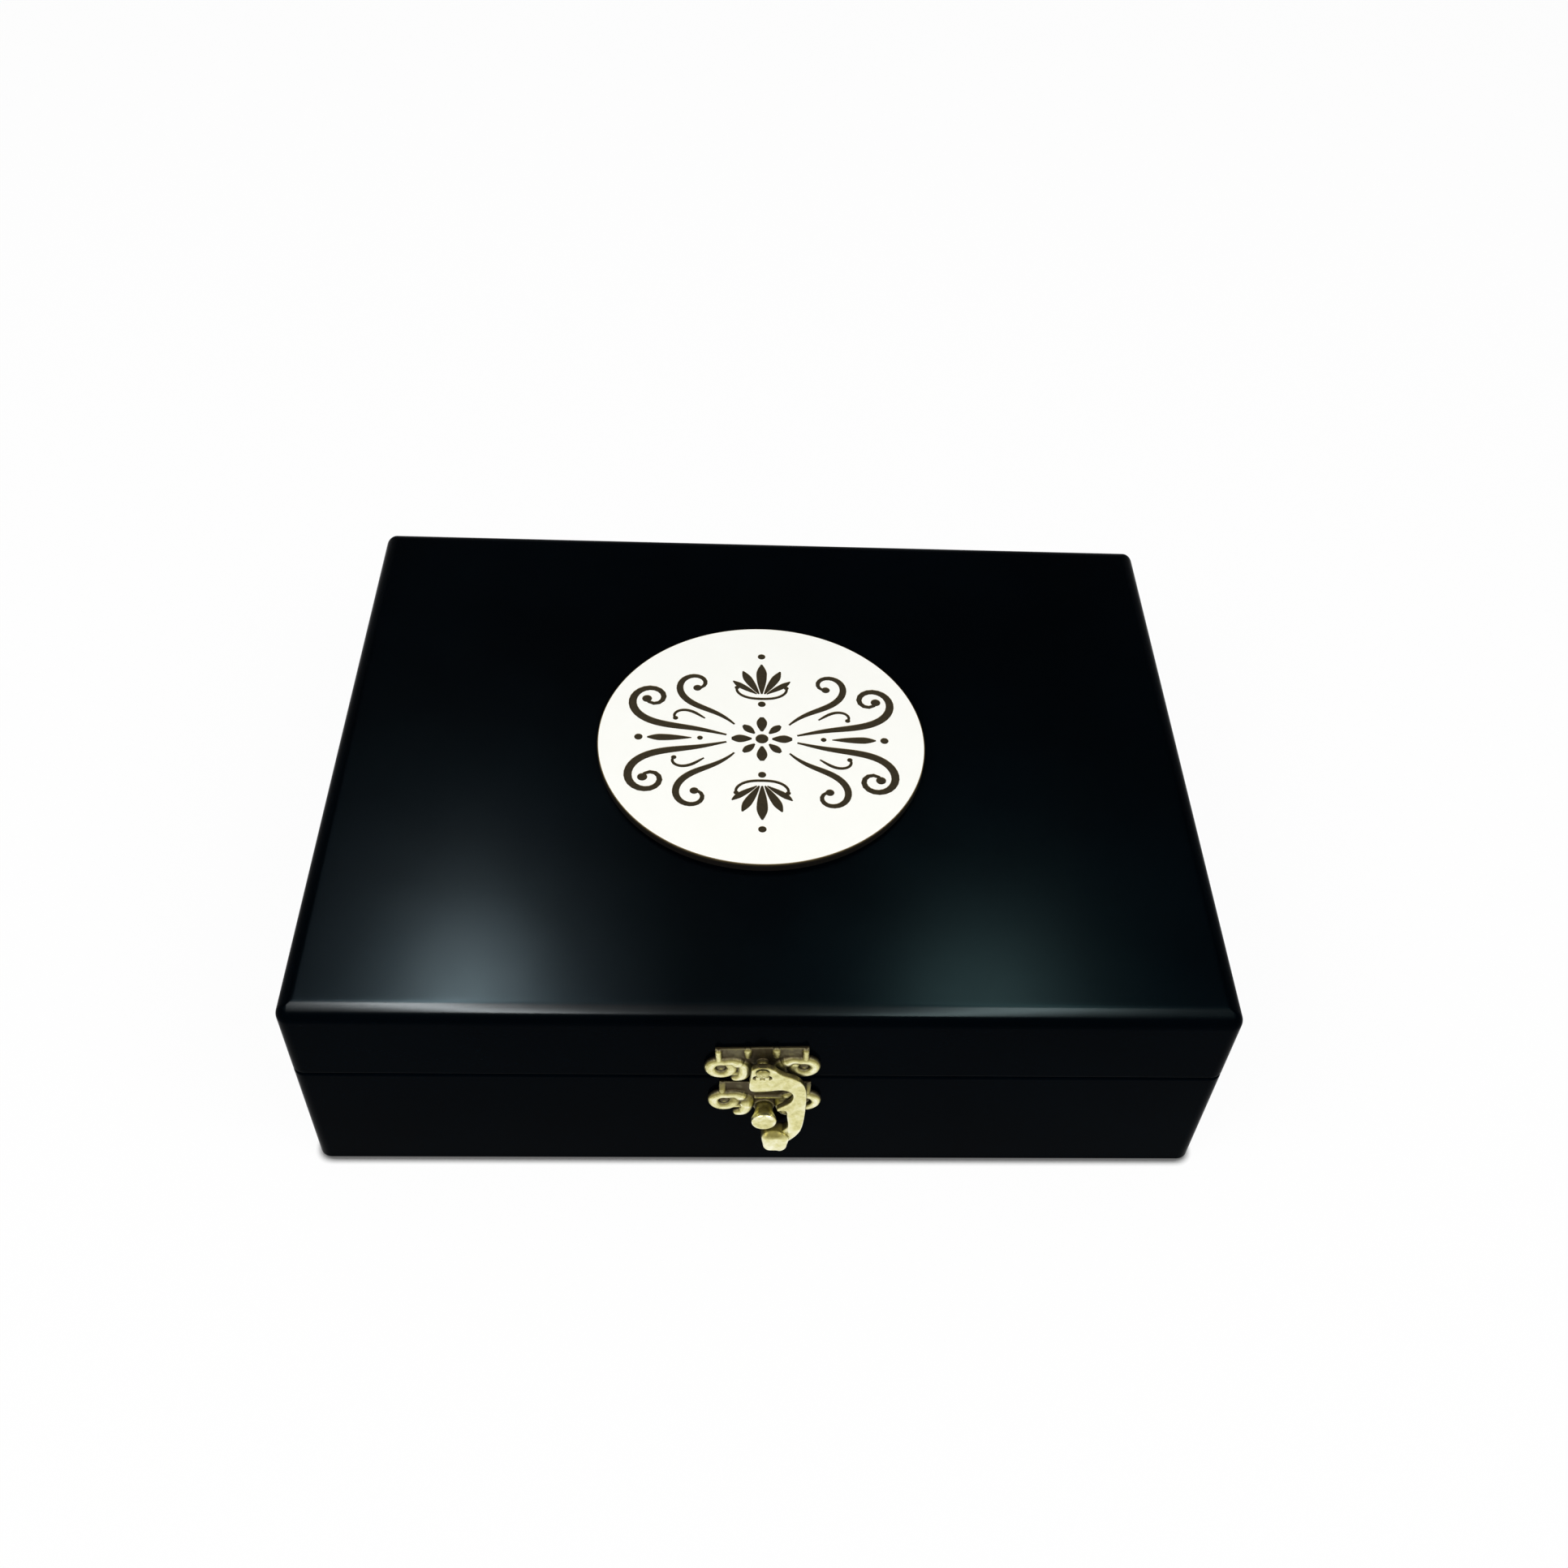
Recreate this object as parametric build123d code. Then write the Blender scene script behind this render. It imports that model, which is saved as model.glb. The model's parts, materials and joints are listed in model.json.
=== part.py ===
from build123d import *
import os
from math import radians, tan

# Deed box: a mitred board carcass in two halves, hinged at the back, with a round plaque on the lid
# and a scrolled brass hook latch at the front.
# Millimetres. +X runs to the right, -Y to the front, +Z up. The origin is the centre of the underside.

# Carcass boards
BOX_WIDTH = 260.0
BOX_DEPTH = 200.0
BASE_HEIGHT = 46.0
LID_HEIGHT = 29.0
WALL = 9.0
LID_PANEL = 6.0
FLOOR_PANEL = 4.0
FLOOR_LEDGE = 4.5
CORNER_RADIUS = 3.7
TOP_ROUND = 3.6
SEAM_EASE = 1.0
FOOT_EASE = 1.6
PANEL_CLEARANCE = 0.1

# Felt lining on the floor
LINING_THICKNESS = 1.2
LINING_CLEARANCE = 0.5

# Plaque on the lid
PLAQUE_DIAMETER = 100.0
PLAQUE_THICKNESS = 3.0
PLAQUE_EASE = 0.3
PLAQUE_X = -1.4

# Back hinges: the pin lies inside the back face, and the two back edges are bevelled to stop the lid
LID_OPEN_DEG = 100.0
STOP_CLEARANCE_DEG = 0.8
HINGE_SPACING = 150.0
HINGE_LENGTH = 22.0
PIN_INSET = 1.6
PIN_RADIUS = 0.75
KNUCKLE_RADIUS = 1.9
KNUCKLES = 3
KNUCKLE_GAP = 0.2
LEAF_THICKNESS = 0.8
LEAF_GAP = 0.1
LEAF_EDGE = 1.2
MORTISE_CLEARANCE = 0.1
KNUCKLE_CLEARANCE = 0.3
PIN_RUNNING_FIT = 0.05
PIN_TIGHT_FIT = 0.02

# Hinge screws: their size and place follow the land, the flat of the leaf behind the knuckles
SCREW_HEAD_PER_LAND = 0.375
SCREW_SHANK_PER_LAND = 0.2
SCREW_PLACE_ON_LAND = 0.525
SCREW_HEAD_DEPTH = 0.7
SCREW_LENGTH = 6.0
SCREW_SPACING = 13.0
SCREW_SLOT_WIDTH = 0.4
SCREW_SLOT_DEPTH = 0.3
SCREW_SETBACK = 0.05
FASTENER_FIT = 0.03

# Latch plates, measured from the line through the two eyes
LATCH_X = -0.9
LATCH_TILT_DEG = 2.0
KEEPER_X = 0.1
SHEET = 1.0
RIM = 1.3
EYE_X = 11.4
EYE_OUTER = 4.7
EYE_INNER = 2.5
CURL_X = 7.0
CURL_Y = 2.2
CURL_RADIUS = 1.9
LOBE_X = 5.3
LOBE_Y = -3.8
LOBE_RADIUS = 2.3
PANEL_HALF = 5.3
PANEL_BORDER = 1.1
FLANGE_HALF = 12.9
FLANGE_HEIGHT = 5.2
FLANGE_BAR = 2.0
PLATE_ABOVE = 9.2
UPPER_EYE_ABOVE_SEAM = 6.8
LOWER_EYE_BELOW_SEAM = 10.3

# Latch nails
NAIL_HEAD_RADIUS = 1.5
NAIL_HEAD_HEIGHT = 0.8
NAIL_SHANK_RADIUS = 0.6
NAIL_LENGTH = 7.0

# Hook and its rivet; x and y are measured from the pivot, and a step from the point that it names
HOOK_BACK = 2.7
HOOK_THICKNESS = 1.9
PIVOT_ABOVE_EYES = 2.2
LOBE_ROUND_PIVOT = 3.1
SHOULDER_LEFT = 3.6
SHOULDER_DROP = 9.9
CREST = (4.3, -0.4)
ELBOW = (9.3, -3.8)
ARM_WIDTH = 5.2
HEEL_IN = 1.0
HEEL_BELOW_STUD = 5.4
FOOT_IN_THUMB = 0.3
LIP_STEP = 1.0
THROAT_BEND = (0.3, 2.0)
THROAT_LEAN = 0.4
NOSE_WIDTH = 1.2
NOSE_ABOVE_STUD = 2.3
BAY_OUT = 1.4
BAY_DROP = 2.8
BAY_CORNER = (0.9, -2.6)
BAY_CROWN = (-1.2, 0.7)
WAIST_RISE = 3.0
RIVET_RADIUS = 1.45
RIVET_HEAD_RADIUS = 2.4
RIVET_HEAD_HEIGHT = 1.1
RIVET_BOSS_RADIUS = 2.9
AXIAL_PLAY = 0.1
HOOK_FIT = 0.05
THUMB_WIDTH = 8.4
THUMB_HEIGHT = 8.8
THUMB_DEPTH = 4.9
THUMB_ROUND = 2.8
THUMB_FRONT_ROUND = 1.6
THUMB_LEFT_OF_STUD = 0.8

# Keeper stud: a mushroom whose neck stands in the hook's throat
STUD_X = 0.0
STUD_BELOW_EYES = 3.3
NECK_RADIUS = 2.5
STUD_HEAD_RADIUS = 3.9
STUD_HEAD_HEIGHT = 1.9
STUD_HEAD_ROUND = 0.9
STUD_TAIL_RADIUS = 1.2
SEAT_CLEARANCE = 0.3
HEAD_CLEARANCE = 0.4
THROAT_CLEARANCE = 4.0
LIP_CLEARANCE = 3.6
NOSE_CLEARANCE = 1.1

# How far a cutting solid runs on past what it cuts
OVERRUN = 1.0

# Worked out from the sizes above
TOTAL_HEIGHT = BASE_HEIGHT + LID_HEIGHT
INNER_WIDTH = BOX_WIDTH - 2 * WALL
INNER_DEPTH = BOX_DEPTH - 2 * WALL
RAIL_HEIGHT = LID_HEIGHT - LID_PANEL
FRONT_Y = -BOX_DEPTH / 2
BACK_Y = BOX_DEPTH / 2
PIN_Y = BACK_Y - PIN_INSET
LEAF_REACH = WALL - PIN_INSET - LEAF_EDGE
LEAF_LAND = LEAF_REACH - KNUCKLE_RADIUS - KNUCKLE_CLEARANCE
SCREW_HEAD_RADIUS = SCREW_HEAD_PER_LAND * LEAF_LAND
SCREW_SHANK_RADIUS = SCREW_SHANK_PER_LAND * LEAF_LAND
SCREW_REACH = LEAF_REACH - SCREW_PLACE_ON_LAND * LEAF_LAND
HINGE_CENTRES = {"left": -HINGE_SPACING / 2, "right": HINGE_SPACING / 2}
SCREW_OFFSETS = (-SCREW_SPACING / 2, SCREW_SPACING / 2)
UPPER_EYE_Z = BASE_HEIGHT + UPPER_EYE_ABOVE_SEAM
LOWER_EYE_Z = BASE_HEIGHT - LOWER_EYE_BELOW_SEAM
PIVOT_Z = UPPER_EYE_Z + PIVOT_ABOVE_EYES
STUD_Z = LOWER_EYE_Z - STUD_BELOW_EYES
HOOK_FRONT = HOOK_BACK + HOOK_THICKNESS
STUD_HEAD_BACK = HOOK_FRONT + HEAD_CLEARANCE
BASE, LID = -1, 1


def on_front(x, z, tilt_deg=0):
    """Place on the box's front face: local x to the right, y up, z outwards."""
    face = Plane(origin=(x, FRONT_Y, z), x_dir=(1, 0, 0), z_dir=(0, -1, 0))
    return face.location * Rot(0, 0, tilt_deg)


UPPER_PLACE = on_front(LATCH_X, UPPER_EYE_Z, LATCH_TILT_DEG)
KEEPER_PLACE = on_front(KEEPER_X, LOWER_EYE_Z)
PIVOT_PLACE = on_front(LATCH_X, PIVOT_Z)


def slab(width, depth, low_z, high_z):
    """Upright block centred on the box's axis."""
    return Pos(0, 0, (low_z + high_z) / 2) * Box(width, depth, high_z - low_z)


def rounded_block(low_z, high_z):
    """Block of the box's full plan, with its upright corners rounded."""
    plan = Pos(0, 0, low_z) * RectangleRounded(BOX_WIDTH, BOX_DEPTH, CORNER_RADIUS)
    return extrude(plan, high_z - low_z)


def ease(block, z, radius):
    """Round over the block's outer edges at one height."""
    return fillet(block.edges().filter_by_position(Axis.Z, z, z), radius)


def rod(radius, start_x, end_x, y, z):
    """Cylinder along X."""
    middle = Pos((start_x + end_x) / 2, y, z)
    return middle * Rot(0, 90, 0) * Cylinder(radius, end_x - start_x)


def mitred_wall(ring, side):
    """One board of a ring, cut at 45 degrees through both of its corners."""
    reach = WALL + OVERRUN
    across = BOX_WIDTH if side in ("front", "back") else BOX_DEPTH
    away = BOX_DEPTH if side in ("front", "back") else BOX_WIDTH
    turn = {"front": 0, "right": 90, "back": 180, "left": 270}[side]
    corners = [
        (-across / 2 - OVERRUN, -away / 2 - OVERRUN),
        (across / 2 + OVERRUN, -away / 2 - OVERRUN),
        (across / 2 - reach, -away / 2 + reach),
        (-across / 2 + reach, -away / 2 + reach),
    ]
    wedge = extrude(make_face(Polyline(*corners, close=True)), TOTAL_HEIGHT)
    return ring & (Rot(0, 0, turn) * wedge)


def stop_bevel(half):
    """Cut along the back seam edge, from the pin's axis out past the back face."""
    out = PIN_INSET + OVERRUN
    rise = out * tan(radians((LID_OPEN_DEG + STOP_CLEARANCE_DEG) / 2))
    profile = Polyline((0, 0), (out, 0), (out, half * rise), close=True)
    start_x = -BOX_WIDTH / 2 - OVERRUN
    side_view = Plane(origin=(start_x, PIN_Y, BASE_HEIGHT), x_dir=(0, 1, 0), z_dir=(1, 0, 0))
    return extrude(side_view * make_face(profile), BOX_WIDTH + 2 * OVERRUN)


def hinge_recesses(half):
    """Mortises for the leaves, grooves for the knuckles and pilot holes for the screws."""
    depth = LEAF_GAP + LEAF_THICKNESS
    width = HINGE_LENGTH + 2 * MORTISE_CLEARANCE
    inner_y = PIN_Y - LEAF_REACH - MORTISE_CLEARANCE
    cuts = Part()
    for centre_x in HINGE_CENTRES.values():
        mortise = Box(width, PIN_Y - inner_y, depth)
        cuts += Pos(centre_x, (PIN_Y + inner_y) / 2, BASE_HEIGHT + half * depth / 2) * mortise
        groove_half = HINGE_LENGTH / 2 + KNUCKLE_CLEARANCE
        groove = KNUCKLE_RADIUS + KNUCKLE_CLEARANCE
        cuts += rod(groove, centre_x - groove_half, centre_x + groove_half, PIN_Y, BASE_HEIGHT)
        for offset in SCREW_OFFSETS:
            hole = Cylinder(SCREW_SHANK_RADIUS + FASTENER_FIT, SCREW_LENGTH)
            centre_z = BASE_HEIGHT + half * (LEAF_GAP + SCREW_LENGTH / 2)
            cuts += Pos(centre_x + offset, PIN_Y - SCREW_REACH, centre_z) * hole
    return cuts


def nail_holes(place):
    """Pilot holes for the two nails of the latch plate at this place."""
    hole = Cylinder(NAIL_SHANK_RADIUS + FASTENER_FIT, 2 * (NAIL_LENGTH - SHEET))
    return [place * Pos(side * EYE_X, 0, 0) * hole for side in (-1, 1)]


def base_ring():
    """The base's four walls in one piece, before the mitres."""
    ring = ease(rounded_block(0, BASE_HEIGHT), BASE_HEIGHT, SEAM_EASE)
    ring = ease(ring, 0, FOOT_EASE)
    ring -= slab(INNER_WIDTH, INNER_DEPTH, -OVERRUN, BASE_HEIGHT + OVERRUN)
    ring -= slab(INNER_WIDTH + 2 * FLOOR_LEDGE, INNER_DEPTH + 2 * FLOOR_LEDGE, -OVERRUN, FLOOR_PANEL)
    return ring - stop_bevel(BASE) - hinge_recesses(BASE) - nail_holes(KEEPER_PLACE)


def lid_ring():
    """The lid's four rails in one piece, before the mitres."""
    top = BASE_HEIGHT + RAIL_HEIGHT
    ring = ease(rounded_block(BASE_HEIGHT, top), BASE_HEIGHT, SEAM_EASE)
    ring -= slab(INNER_WIDTH, INNER_DEPTH, BASE_HEIGHT - OVERRUN, top + OVERRUN)
    return ring - stop_bevel(LID) - hinge_recesses(LID) - nail_holes(UPPER_PLACE)


def base_floor():
    """Board let into the walls' ledge, flush with the underside."""
    shrink = 2 * (FLOOR_LEDGE - PANEL_CLEARANCE)
    return slab(INNER_WIDTH + shrink, INNER_DEPTH + shrink, 0, FLOOR_PANEL)


def base_lining():
    """Felt sheet glued on the floor."""
    width = INNER_WIDTH - 2 * LINING_CLEARANCE
    depth = INNER_DEPTH - 2 * LINING_CLEARANCE
    return slab(width, depth, FLOOR_PANEL, FLOOR_PANEL + LINING_THICKNESS)


def lid_top():
    """Board that covers the rails, rounded over at its upper edges."""
    return ease(rounded_block(TOTAL_HEIGHT - LID_PANEL, TOTAL_HEIGHT), TOTAL_HEIGHT, TOP_ROUND)


def plaque():
    """Round disc glued on the lid."""
    disc = Cylinder(PLAQUE_DIAMETER / 2, PLAQUE_THICKNESS)
    disc = fillet(disc.edges().sort_by(Axis.Z)[-1], PLAQUE_EASE)
    return Pos(PLAQUE_X, 0, TOTAL_HEIGHT + PLAQUE_THICKNESS / 2) * disc


def knuckle_span(centre_x, index):
    """Start and end of one knuckle along the pin."""
    pitch = HINGE_LENGTH / KNUCKLES
    start = centre_x - HINGE_LENGTH / 2 + index * pitch
    return start + KNUCKLE_GAP / 2, start + pitch - KNUCKLE_GAP / 2


def countersunk_head(spread):
    """Cone under a screw head's face, its wide end at z = 0 and its narrow end below."""
    cone = Cone(SCREW_SHANK_RADIUS + spread, SCREW_HEAD_RADIUS + spread, SCREW_HEAD_DEPTH)
    return Pos(0, 0, -SCREW_HEAD_DEPTH / 2) * cone


def hinge_leaf(centre_x, half):
    """Leaf with its own knuckles, cut away round those of the other leaf."""
    own = [i for i in range(KNUCKLES) if (i % 2 == 0) == (half == BASE)]
    plate_z = BASE_HEIGHT + half * (LEAF_GAP + LEAF_THICKNESS / 2)
    plate = Box(HINGE_LENGTH, LEAF_REACH, LEAF_THICKNESS)
    leaf = Pos(centre_x, PIN_Y - LEAF_REACH / 2, plate_z) * plate
    for index in range(KNUCKLES):
        start, end = knuckle_span(centre_x, index)
        if index not in own:
            relief = KNUCKLE_RADIUS + KNUCKLE_CLEARANCE
            leaf -= rod(relief, start - KNUCKLE_GAP, end + KNUCKLE_GAP, PIN_Y, BASE_HEIGHT)
    for index in own:
        leaf += rod(KNUCKLE_RADIUS, *knuckle_span(centre_x, index), PIN_Y, BASE_HEIGHT)
    bore = PIN_RADIUS + (PIN_TIGHT_FIT if half == BASE else PIN_RUNNING_FIT)
    leaf -= rod(bore, centre_x - HINGE_LENGTH, centre_x + HINGE_LENGTH, PIN_Y, BASE_HEIGHT)
    for offset in SCREW_OFFSETS:
        seat = countersunk_head(FASTENER_FIT)
        seat += Pos(0, 0, -LEAF_THICKNESS) * Cylinder(SCREW_SHANK_RADIUS + FASTENER_FIT, LEAF_THICKNESS)
        seat += Pos(0, 0, SCREW_SETBACK) * Cylinder(SCREW_HEAD_RADIUS + FASTENER_FIT, 2 * SCREW_SETBACK)
        leaf -= screw_place(centre_x + offset, half) * seat
    return leaf


def screw_place(x, half):
    """Where a screw's face lies: base screws go down into the walls, lid screws up into the rails."""
    face_z = BASE_HEIGHT + half * (LEAF_GAP + SCREW_SETBACK)
    flip = Rot(180, 0, 0) if half == LID else Rot(0, 0, 0)
    return Pos(x, PIN_Y - SCREW_REACH, face_z) * flip


def hinge_screw():
    """Slotted countersunk screw, face up at z = 0."""
    shank = SCREW_LENGTH - SCREW_HEAD_DEPTH - 2 * SCREW_SETBACK
    screw = countersunk_head(0)
    screw += Pos(0, 0, -SCREW_HEAD_DEPTH - shank / 2) * Cylinder(SCREW_SHANK_RADIUS, shank)
    return screw - Box(2 * SCREW_HEAD_RADIUS, SCREW_SLOT_WIDTH, 2 * SCREW_SLOT_DEPTH)


def hinge_screws(half):
    """All the screws of the leaves on one half of the box."""
    places = [x + offset for x in HINGE_CENTRES.values() for offset in SCREW_OFFSETS]
    return Compound(children=[screw_place(x, half) * hinge_screw() for x in places])


def hinge_pin(centre_x):
    """Pin held tight in the base leaf's knuckles."""
    half = HINGE_LENGTH / 2
    return rod(PIN_RADIUS, centre_x - half, centre_x + half, PIN_Y, BASE_HEIGHT)


def plate_panel(border):
    """Centre panel of a latch plate, drawn in by a border."""
    low = LOBE_Y + border
    high = PLATE_ABOVE - border
    return Pos(0, (low + high) / 2) * Rectangle(2 * (PANEL_HALF - border), high - low)


def plate_silhouette():
    """Outline of a latch plate: a straight flange above, two scrolled eyes and two lobes below."""
    flange = Rectangle(2 * FLANGE_HALF, FLANGE_HEIGHT)
    outline = plate_panel(0) + Pos(0, PLATE_ABOVE - FLANGE_HEIGHT / 2) * flange
    for side in (-1, 1):
        outline += Pos(side * EYE_X, 0) * Circle(EYE_OUTER)
        outline += Pos(side * LOBE_X, LOBE_Y) * Circle(LOBE_RADIUS)
    return outline


def plate_relief():
    """Raised scrolls, flange bars and panel border of a latch plate."""
    relief = plate_panel(0) - plate_panel(PANEL_BORDER)
    bar_x = FLANGE_HALF - FLANGE_BAR / 2
    for side in (-1, 1):
        relief += Pos(side * EYE_X, 0) * (Circle(EYE_OUTER) - Circle(EYE_INNER))
        relief += Pos(side * LOBE_X, LOBE_Y) * Circle(LOBE_RADIUS)
        relief += Pos(side * CURL_X, CURL_Y) * Circle(CURL_RADIUS)
        relief += Pos(side * bar_x, PLATE_ABOVE - FLANGE_HEIGHT / 2) * Rectangle(FLANGE_BAR, FLANGE_HEIGHT)
    return relief


def latch_plate():
    """Plate with its two nail holes, flat on the plane z = 0."""
    outline = plate_silhouette()
    plate = extrude(outline, SHEET) + extrude(Pos(0, 0, SHEET) * (plate_relief() & outline), RIM)
    for side in (-1, 1):
        plate -= Pos(side * EYE_X, 0, 0) * Cylinder(NAIL_SHANK_RADIUS + FASTENER_FIT, 4 * SHEET)
    return plate


def upper_plate():
    """Lid plate, with the boss that the hook turns on and the rivet's hole through it."""
    boss_height = HOOK_BACK - AXIAL_PLAY
    plate = UPPER_PLACE * latch_plate()
    plate += PIVOT_PLACE * Pos(0, 0, boss_height / 2) * Cylinder(RIVET_BOSS_RADIUS, boss_height)
    return plate - PIVOT_PLACE * Cylinder(RIVET_RADIUS + FASTENER_FIT, 4 * boss_height)


def keeper_plate():
    """Base plate, with a flat seat for the stud's neck and the hole for its tail."""
    stud = Pos(STUD_X - KEEPER_X, -STUD_BELOW_EYES, 0)
    plate = latch_plate() - stud * Cylinder(STUD_TAIL_RADIUS + FASTENER_FIT, 4 * SHEET)
    plate -= stud * Pos(0, 0, SHEET + RIM) * Cylinder(NECK_RADIUS + SEAT_CLEARANCE, 2 * RIM)
    return KEEPER_PLACE * plate


def domed_head(radius, height):
    """Shallow dome standing on z = 0."""
    ball_radius = (radius**2 + height**2) / (2 * height)
    ball = Pos(0, 0, height - ball_radius) * Sphere(ball_radius)
    return ball & (Pos(0, 0, height / 2) * Cylinder(radius + OVERRUN, height))


def latch_nails(place):
    """The two round-headed nails of the latch plate at this place."""
    shank = Pos(0, 0, SHEET - NAIL_LENGTH / 2) * Cylinder(NAIL_SHANK_RADIUS, NAIL_LENGTH)
    nail = shank + Pos(0, 0, SHEET) * domed_head(NAIL_HEAD_RADIUS, NAIL_HEAD_HEIGHT)
    return Compound(children=[place * Pos(side * EYE_X, 0, 0) * nail for side in (-1, 1)])


def hook_outline():
    """Flat outline of the hook about its pivot: lobe, shoulder, and an arm round the stud's neck."""
    lobe = LOBE_ROUND_PIVOT
    stud_x = STUD_X - LATCH_X
    stud_y = STUD_Z - PIVOT_Z
    throat_x = stud_x + NECK_RADIUS + THROAT_CLEARANCE
    nose_x = stud_x + NECK_RADIUS + NOSE_CLEARANCE
    nose_y = stud_y + NOSE_ABOVE_STUD
    lip_y = stud_y - NECK_RADIUS - LIP_CLEARANCE
    thumb_x = stud_x - THUMB_LEFT_OF_STUD + THUMB_WIDTH / 2
    arm_side = (throat_x + ARM_WIDTH, stud_y + 2 * NECK_RADIUS)
    heel = (arm_side[0] - HEEL_IN, stud_y - HEEL_BELOW_STUD)
    foot = (thumb_x, lip_y - THUMB_HEIGHT + FOOT_IN_THUMB)
    lip = (thumb_x, lip_y - LIP_STEP)
    throat = (throat_x + THROAT_BEND[0], lip_y + THROAT_BEND[1])
    nose_root = (throat_x - THROAT_LEAN, nose_y)
    nose_low = (nose_x, nose_y)
    nose_high = (nose_x, nose_y + NOSE_WIDTH)
    bay = (throat_x + BAY_OUT, -SHOULDER_DROP - BAY_DROP)
    bay_corner = (throat_x + BAY_CORNER[0], bay[1] + BAY_CORNER[1])
    bay_crown = (throat_x + BAY_CROWN[0], BAY_CROWN[1] - SHOULDER_DROP)
    shoulder = (-SHOULDER_LEFT / 2, -SHOULDER_DROP)
    waist = (-SHOULDER_LEFT, WAIST_RISE - SHOULDER_DROP)
    edge = Spline((0, lobe), CREST, ELBOW, arm_side, tangents=[(1, 0), (0, -1)])
    edge += Spline(arm_side, heel, foot, tangents=[(0, -1), (-1, -0.4)])
    edge += Line(foot, lip)
    edge += Spline(lip, throat, (throat_x, stud_y), nose_root, nose_low)
    edge += Line(nose_low, nose_high)
    edge += Spline(nose_high, bay_corner, bay, tangents=[(1, 1), (0, 1)])
    edge += Spline(bay, bay_crown, shoulder, tangents=[(0, 1), (-1, 0)])
    edge += Spline(shoulder, waist, (-lobe, 0), tangents=[(-1, 0), (0, 1)])
    edge += RadiusArc((-lobe, 0), (0, lobe), lobe)
    return make_face(edge)


def hook():
    """Swinging hook with a thumb piece at its foot, bored for the rivet."""
    stud_x = STUD_X - LATCH_X
    lip_y = STUD_Z - PIVOT_Z - NECK_RADIUS - LIP_CLEARANCE
    arm = extrude(hook_outline(), HOOK_THICKNESS)
    thumb = extrude(RectangleRounded(THUMB_WIDTH, THUMB_HEIGHT, THUMB_ROUND), THUMB_DEPTH)
    thumb = fillet(thumb.faces().sort_by(Axis.Z)[-1].edges(), THUMB_FRONT_ROUND)
    thumb_x = stud_x - THUMB_LEFT_OF_STUD + THUMB_WIDTH / 2
    arm += Pos(thumb_x, lip_y - THUMB_HEIGHT / 2, 0) * thumb
    arm -= Cylinder(RIVET_RADIUS + HOOK_FIT, 4 * HOOK_THICKNESS)
    return PIVOT_PLACE * Pos(0, 0, HOOK_BACK) * arm


def hook_rivet():
    """Domed rivet that holds the hook on the upper plate's boss."""
    under_head = HOOK_FRONT + AXIAL_PLAY
    rivet = Pos(0, 0, under_head / 2) * Cylinder(RIVET_RADIUS, under_head)
    rivet += Pos(0, 0, under_head) * domed_head(RIVET_HEAD_RADIUS, RIVET_HEAD_HEIGHT)
    return PIVOT_PLACE * rivet


def keeper_stud():
    """Mushroom stud on the keeper plate, its tail riveted through the plate."""
    stud = Pos(0, 0, SHEET / 2) * Cylinder(STUD_TAIL_RADIUS, SHEET)
    neck = STUD_HEAD_BACK - SHEET
    stud += Pos(0, 0, SHEET + neck / 2) * Cylinder(NECK_RADIUS, neck)
    head = Cylinder(STUD_HEAD_RADIUS, STUD_HEAD_HEIGHT)
    head = fillet(head.edges().sort_by(Axis.Z)[-1], STUD_HEAD_ROUND)
    stud += Pos(0, 0, STUD_HEAD_BACK + STUD_HEAD_HEIGHT / 2) * head
    return on_front(STUD_X, STUD_Z) * stud


def build_nodes():
    """Every sub-part of the box by name."""
    nodes = {}
    base = base_ring()
    lid = lid_ring()
    for side in ("front", "back", "left", "right"):
        nodes["base_" + side] = mitred_wall(base, side)
        nodes["lid_" + side] = mitred_wall(lid, side)
    nodes["base_floor"] = base_floor()
    nodes["base_lining"] = base_lining()
    nodes["lid_top"] = lid_top()
    nodes["plaque"] = plaque()
    for name, centre_x in HINGE_CENTRES.items():
        nodes["hinge_base_leaf_" + name] = hinge_leaf(centre_x, BASE)
        nodes["hinge_lid_leaf_" + name] = hinge_leaf(centre_x, LID)
        nodes["hinge_pin_" + name] = hinge_pin(centre_x)
    nodes["hinge_base_screws"] = hinge_screws(BASE)
    nodes["hinge_lid_screws"] = hinge_screws(LID)
    nodes["latch_upper_plate"] = upper_plate()
    nodes["latch_keeper_plate"] = keeper_plate()
    nodes["latch_upper_nails"] = latch_nails(UPPER_PLACE)
    nodes["latch_keeper_nails"] = latch_nails(KEEPER_PLACE)
    nodes["latch_hook"] = hook()
    nodes["latch_hook_rivet"] = hook_rivet()
    nodes["latch_keeper_stud"] = keeper_stud()
    return nodes


os.makedirs("parts", exist_ok=True)
for node, shape in build_nodes().items():
    export_step(shape, f"parts/{node}.step")
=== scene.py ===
"""Looks of the deed box: lacquered boards, engraved plaque, cast brass latch, hinges and felt lining."""

import json
import math

import bmesh
import bpy
import numpy as np
from mathutils import Matrix, Vector

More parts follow.
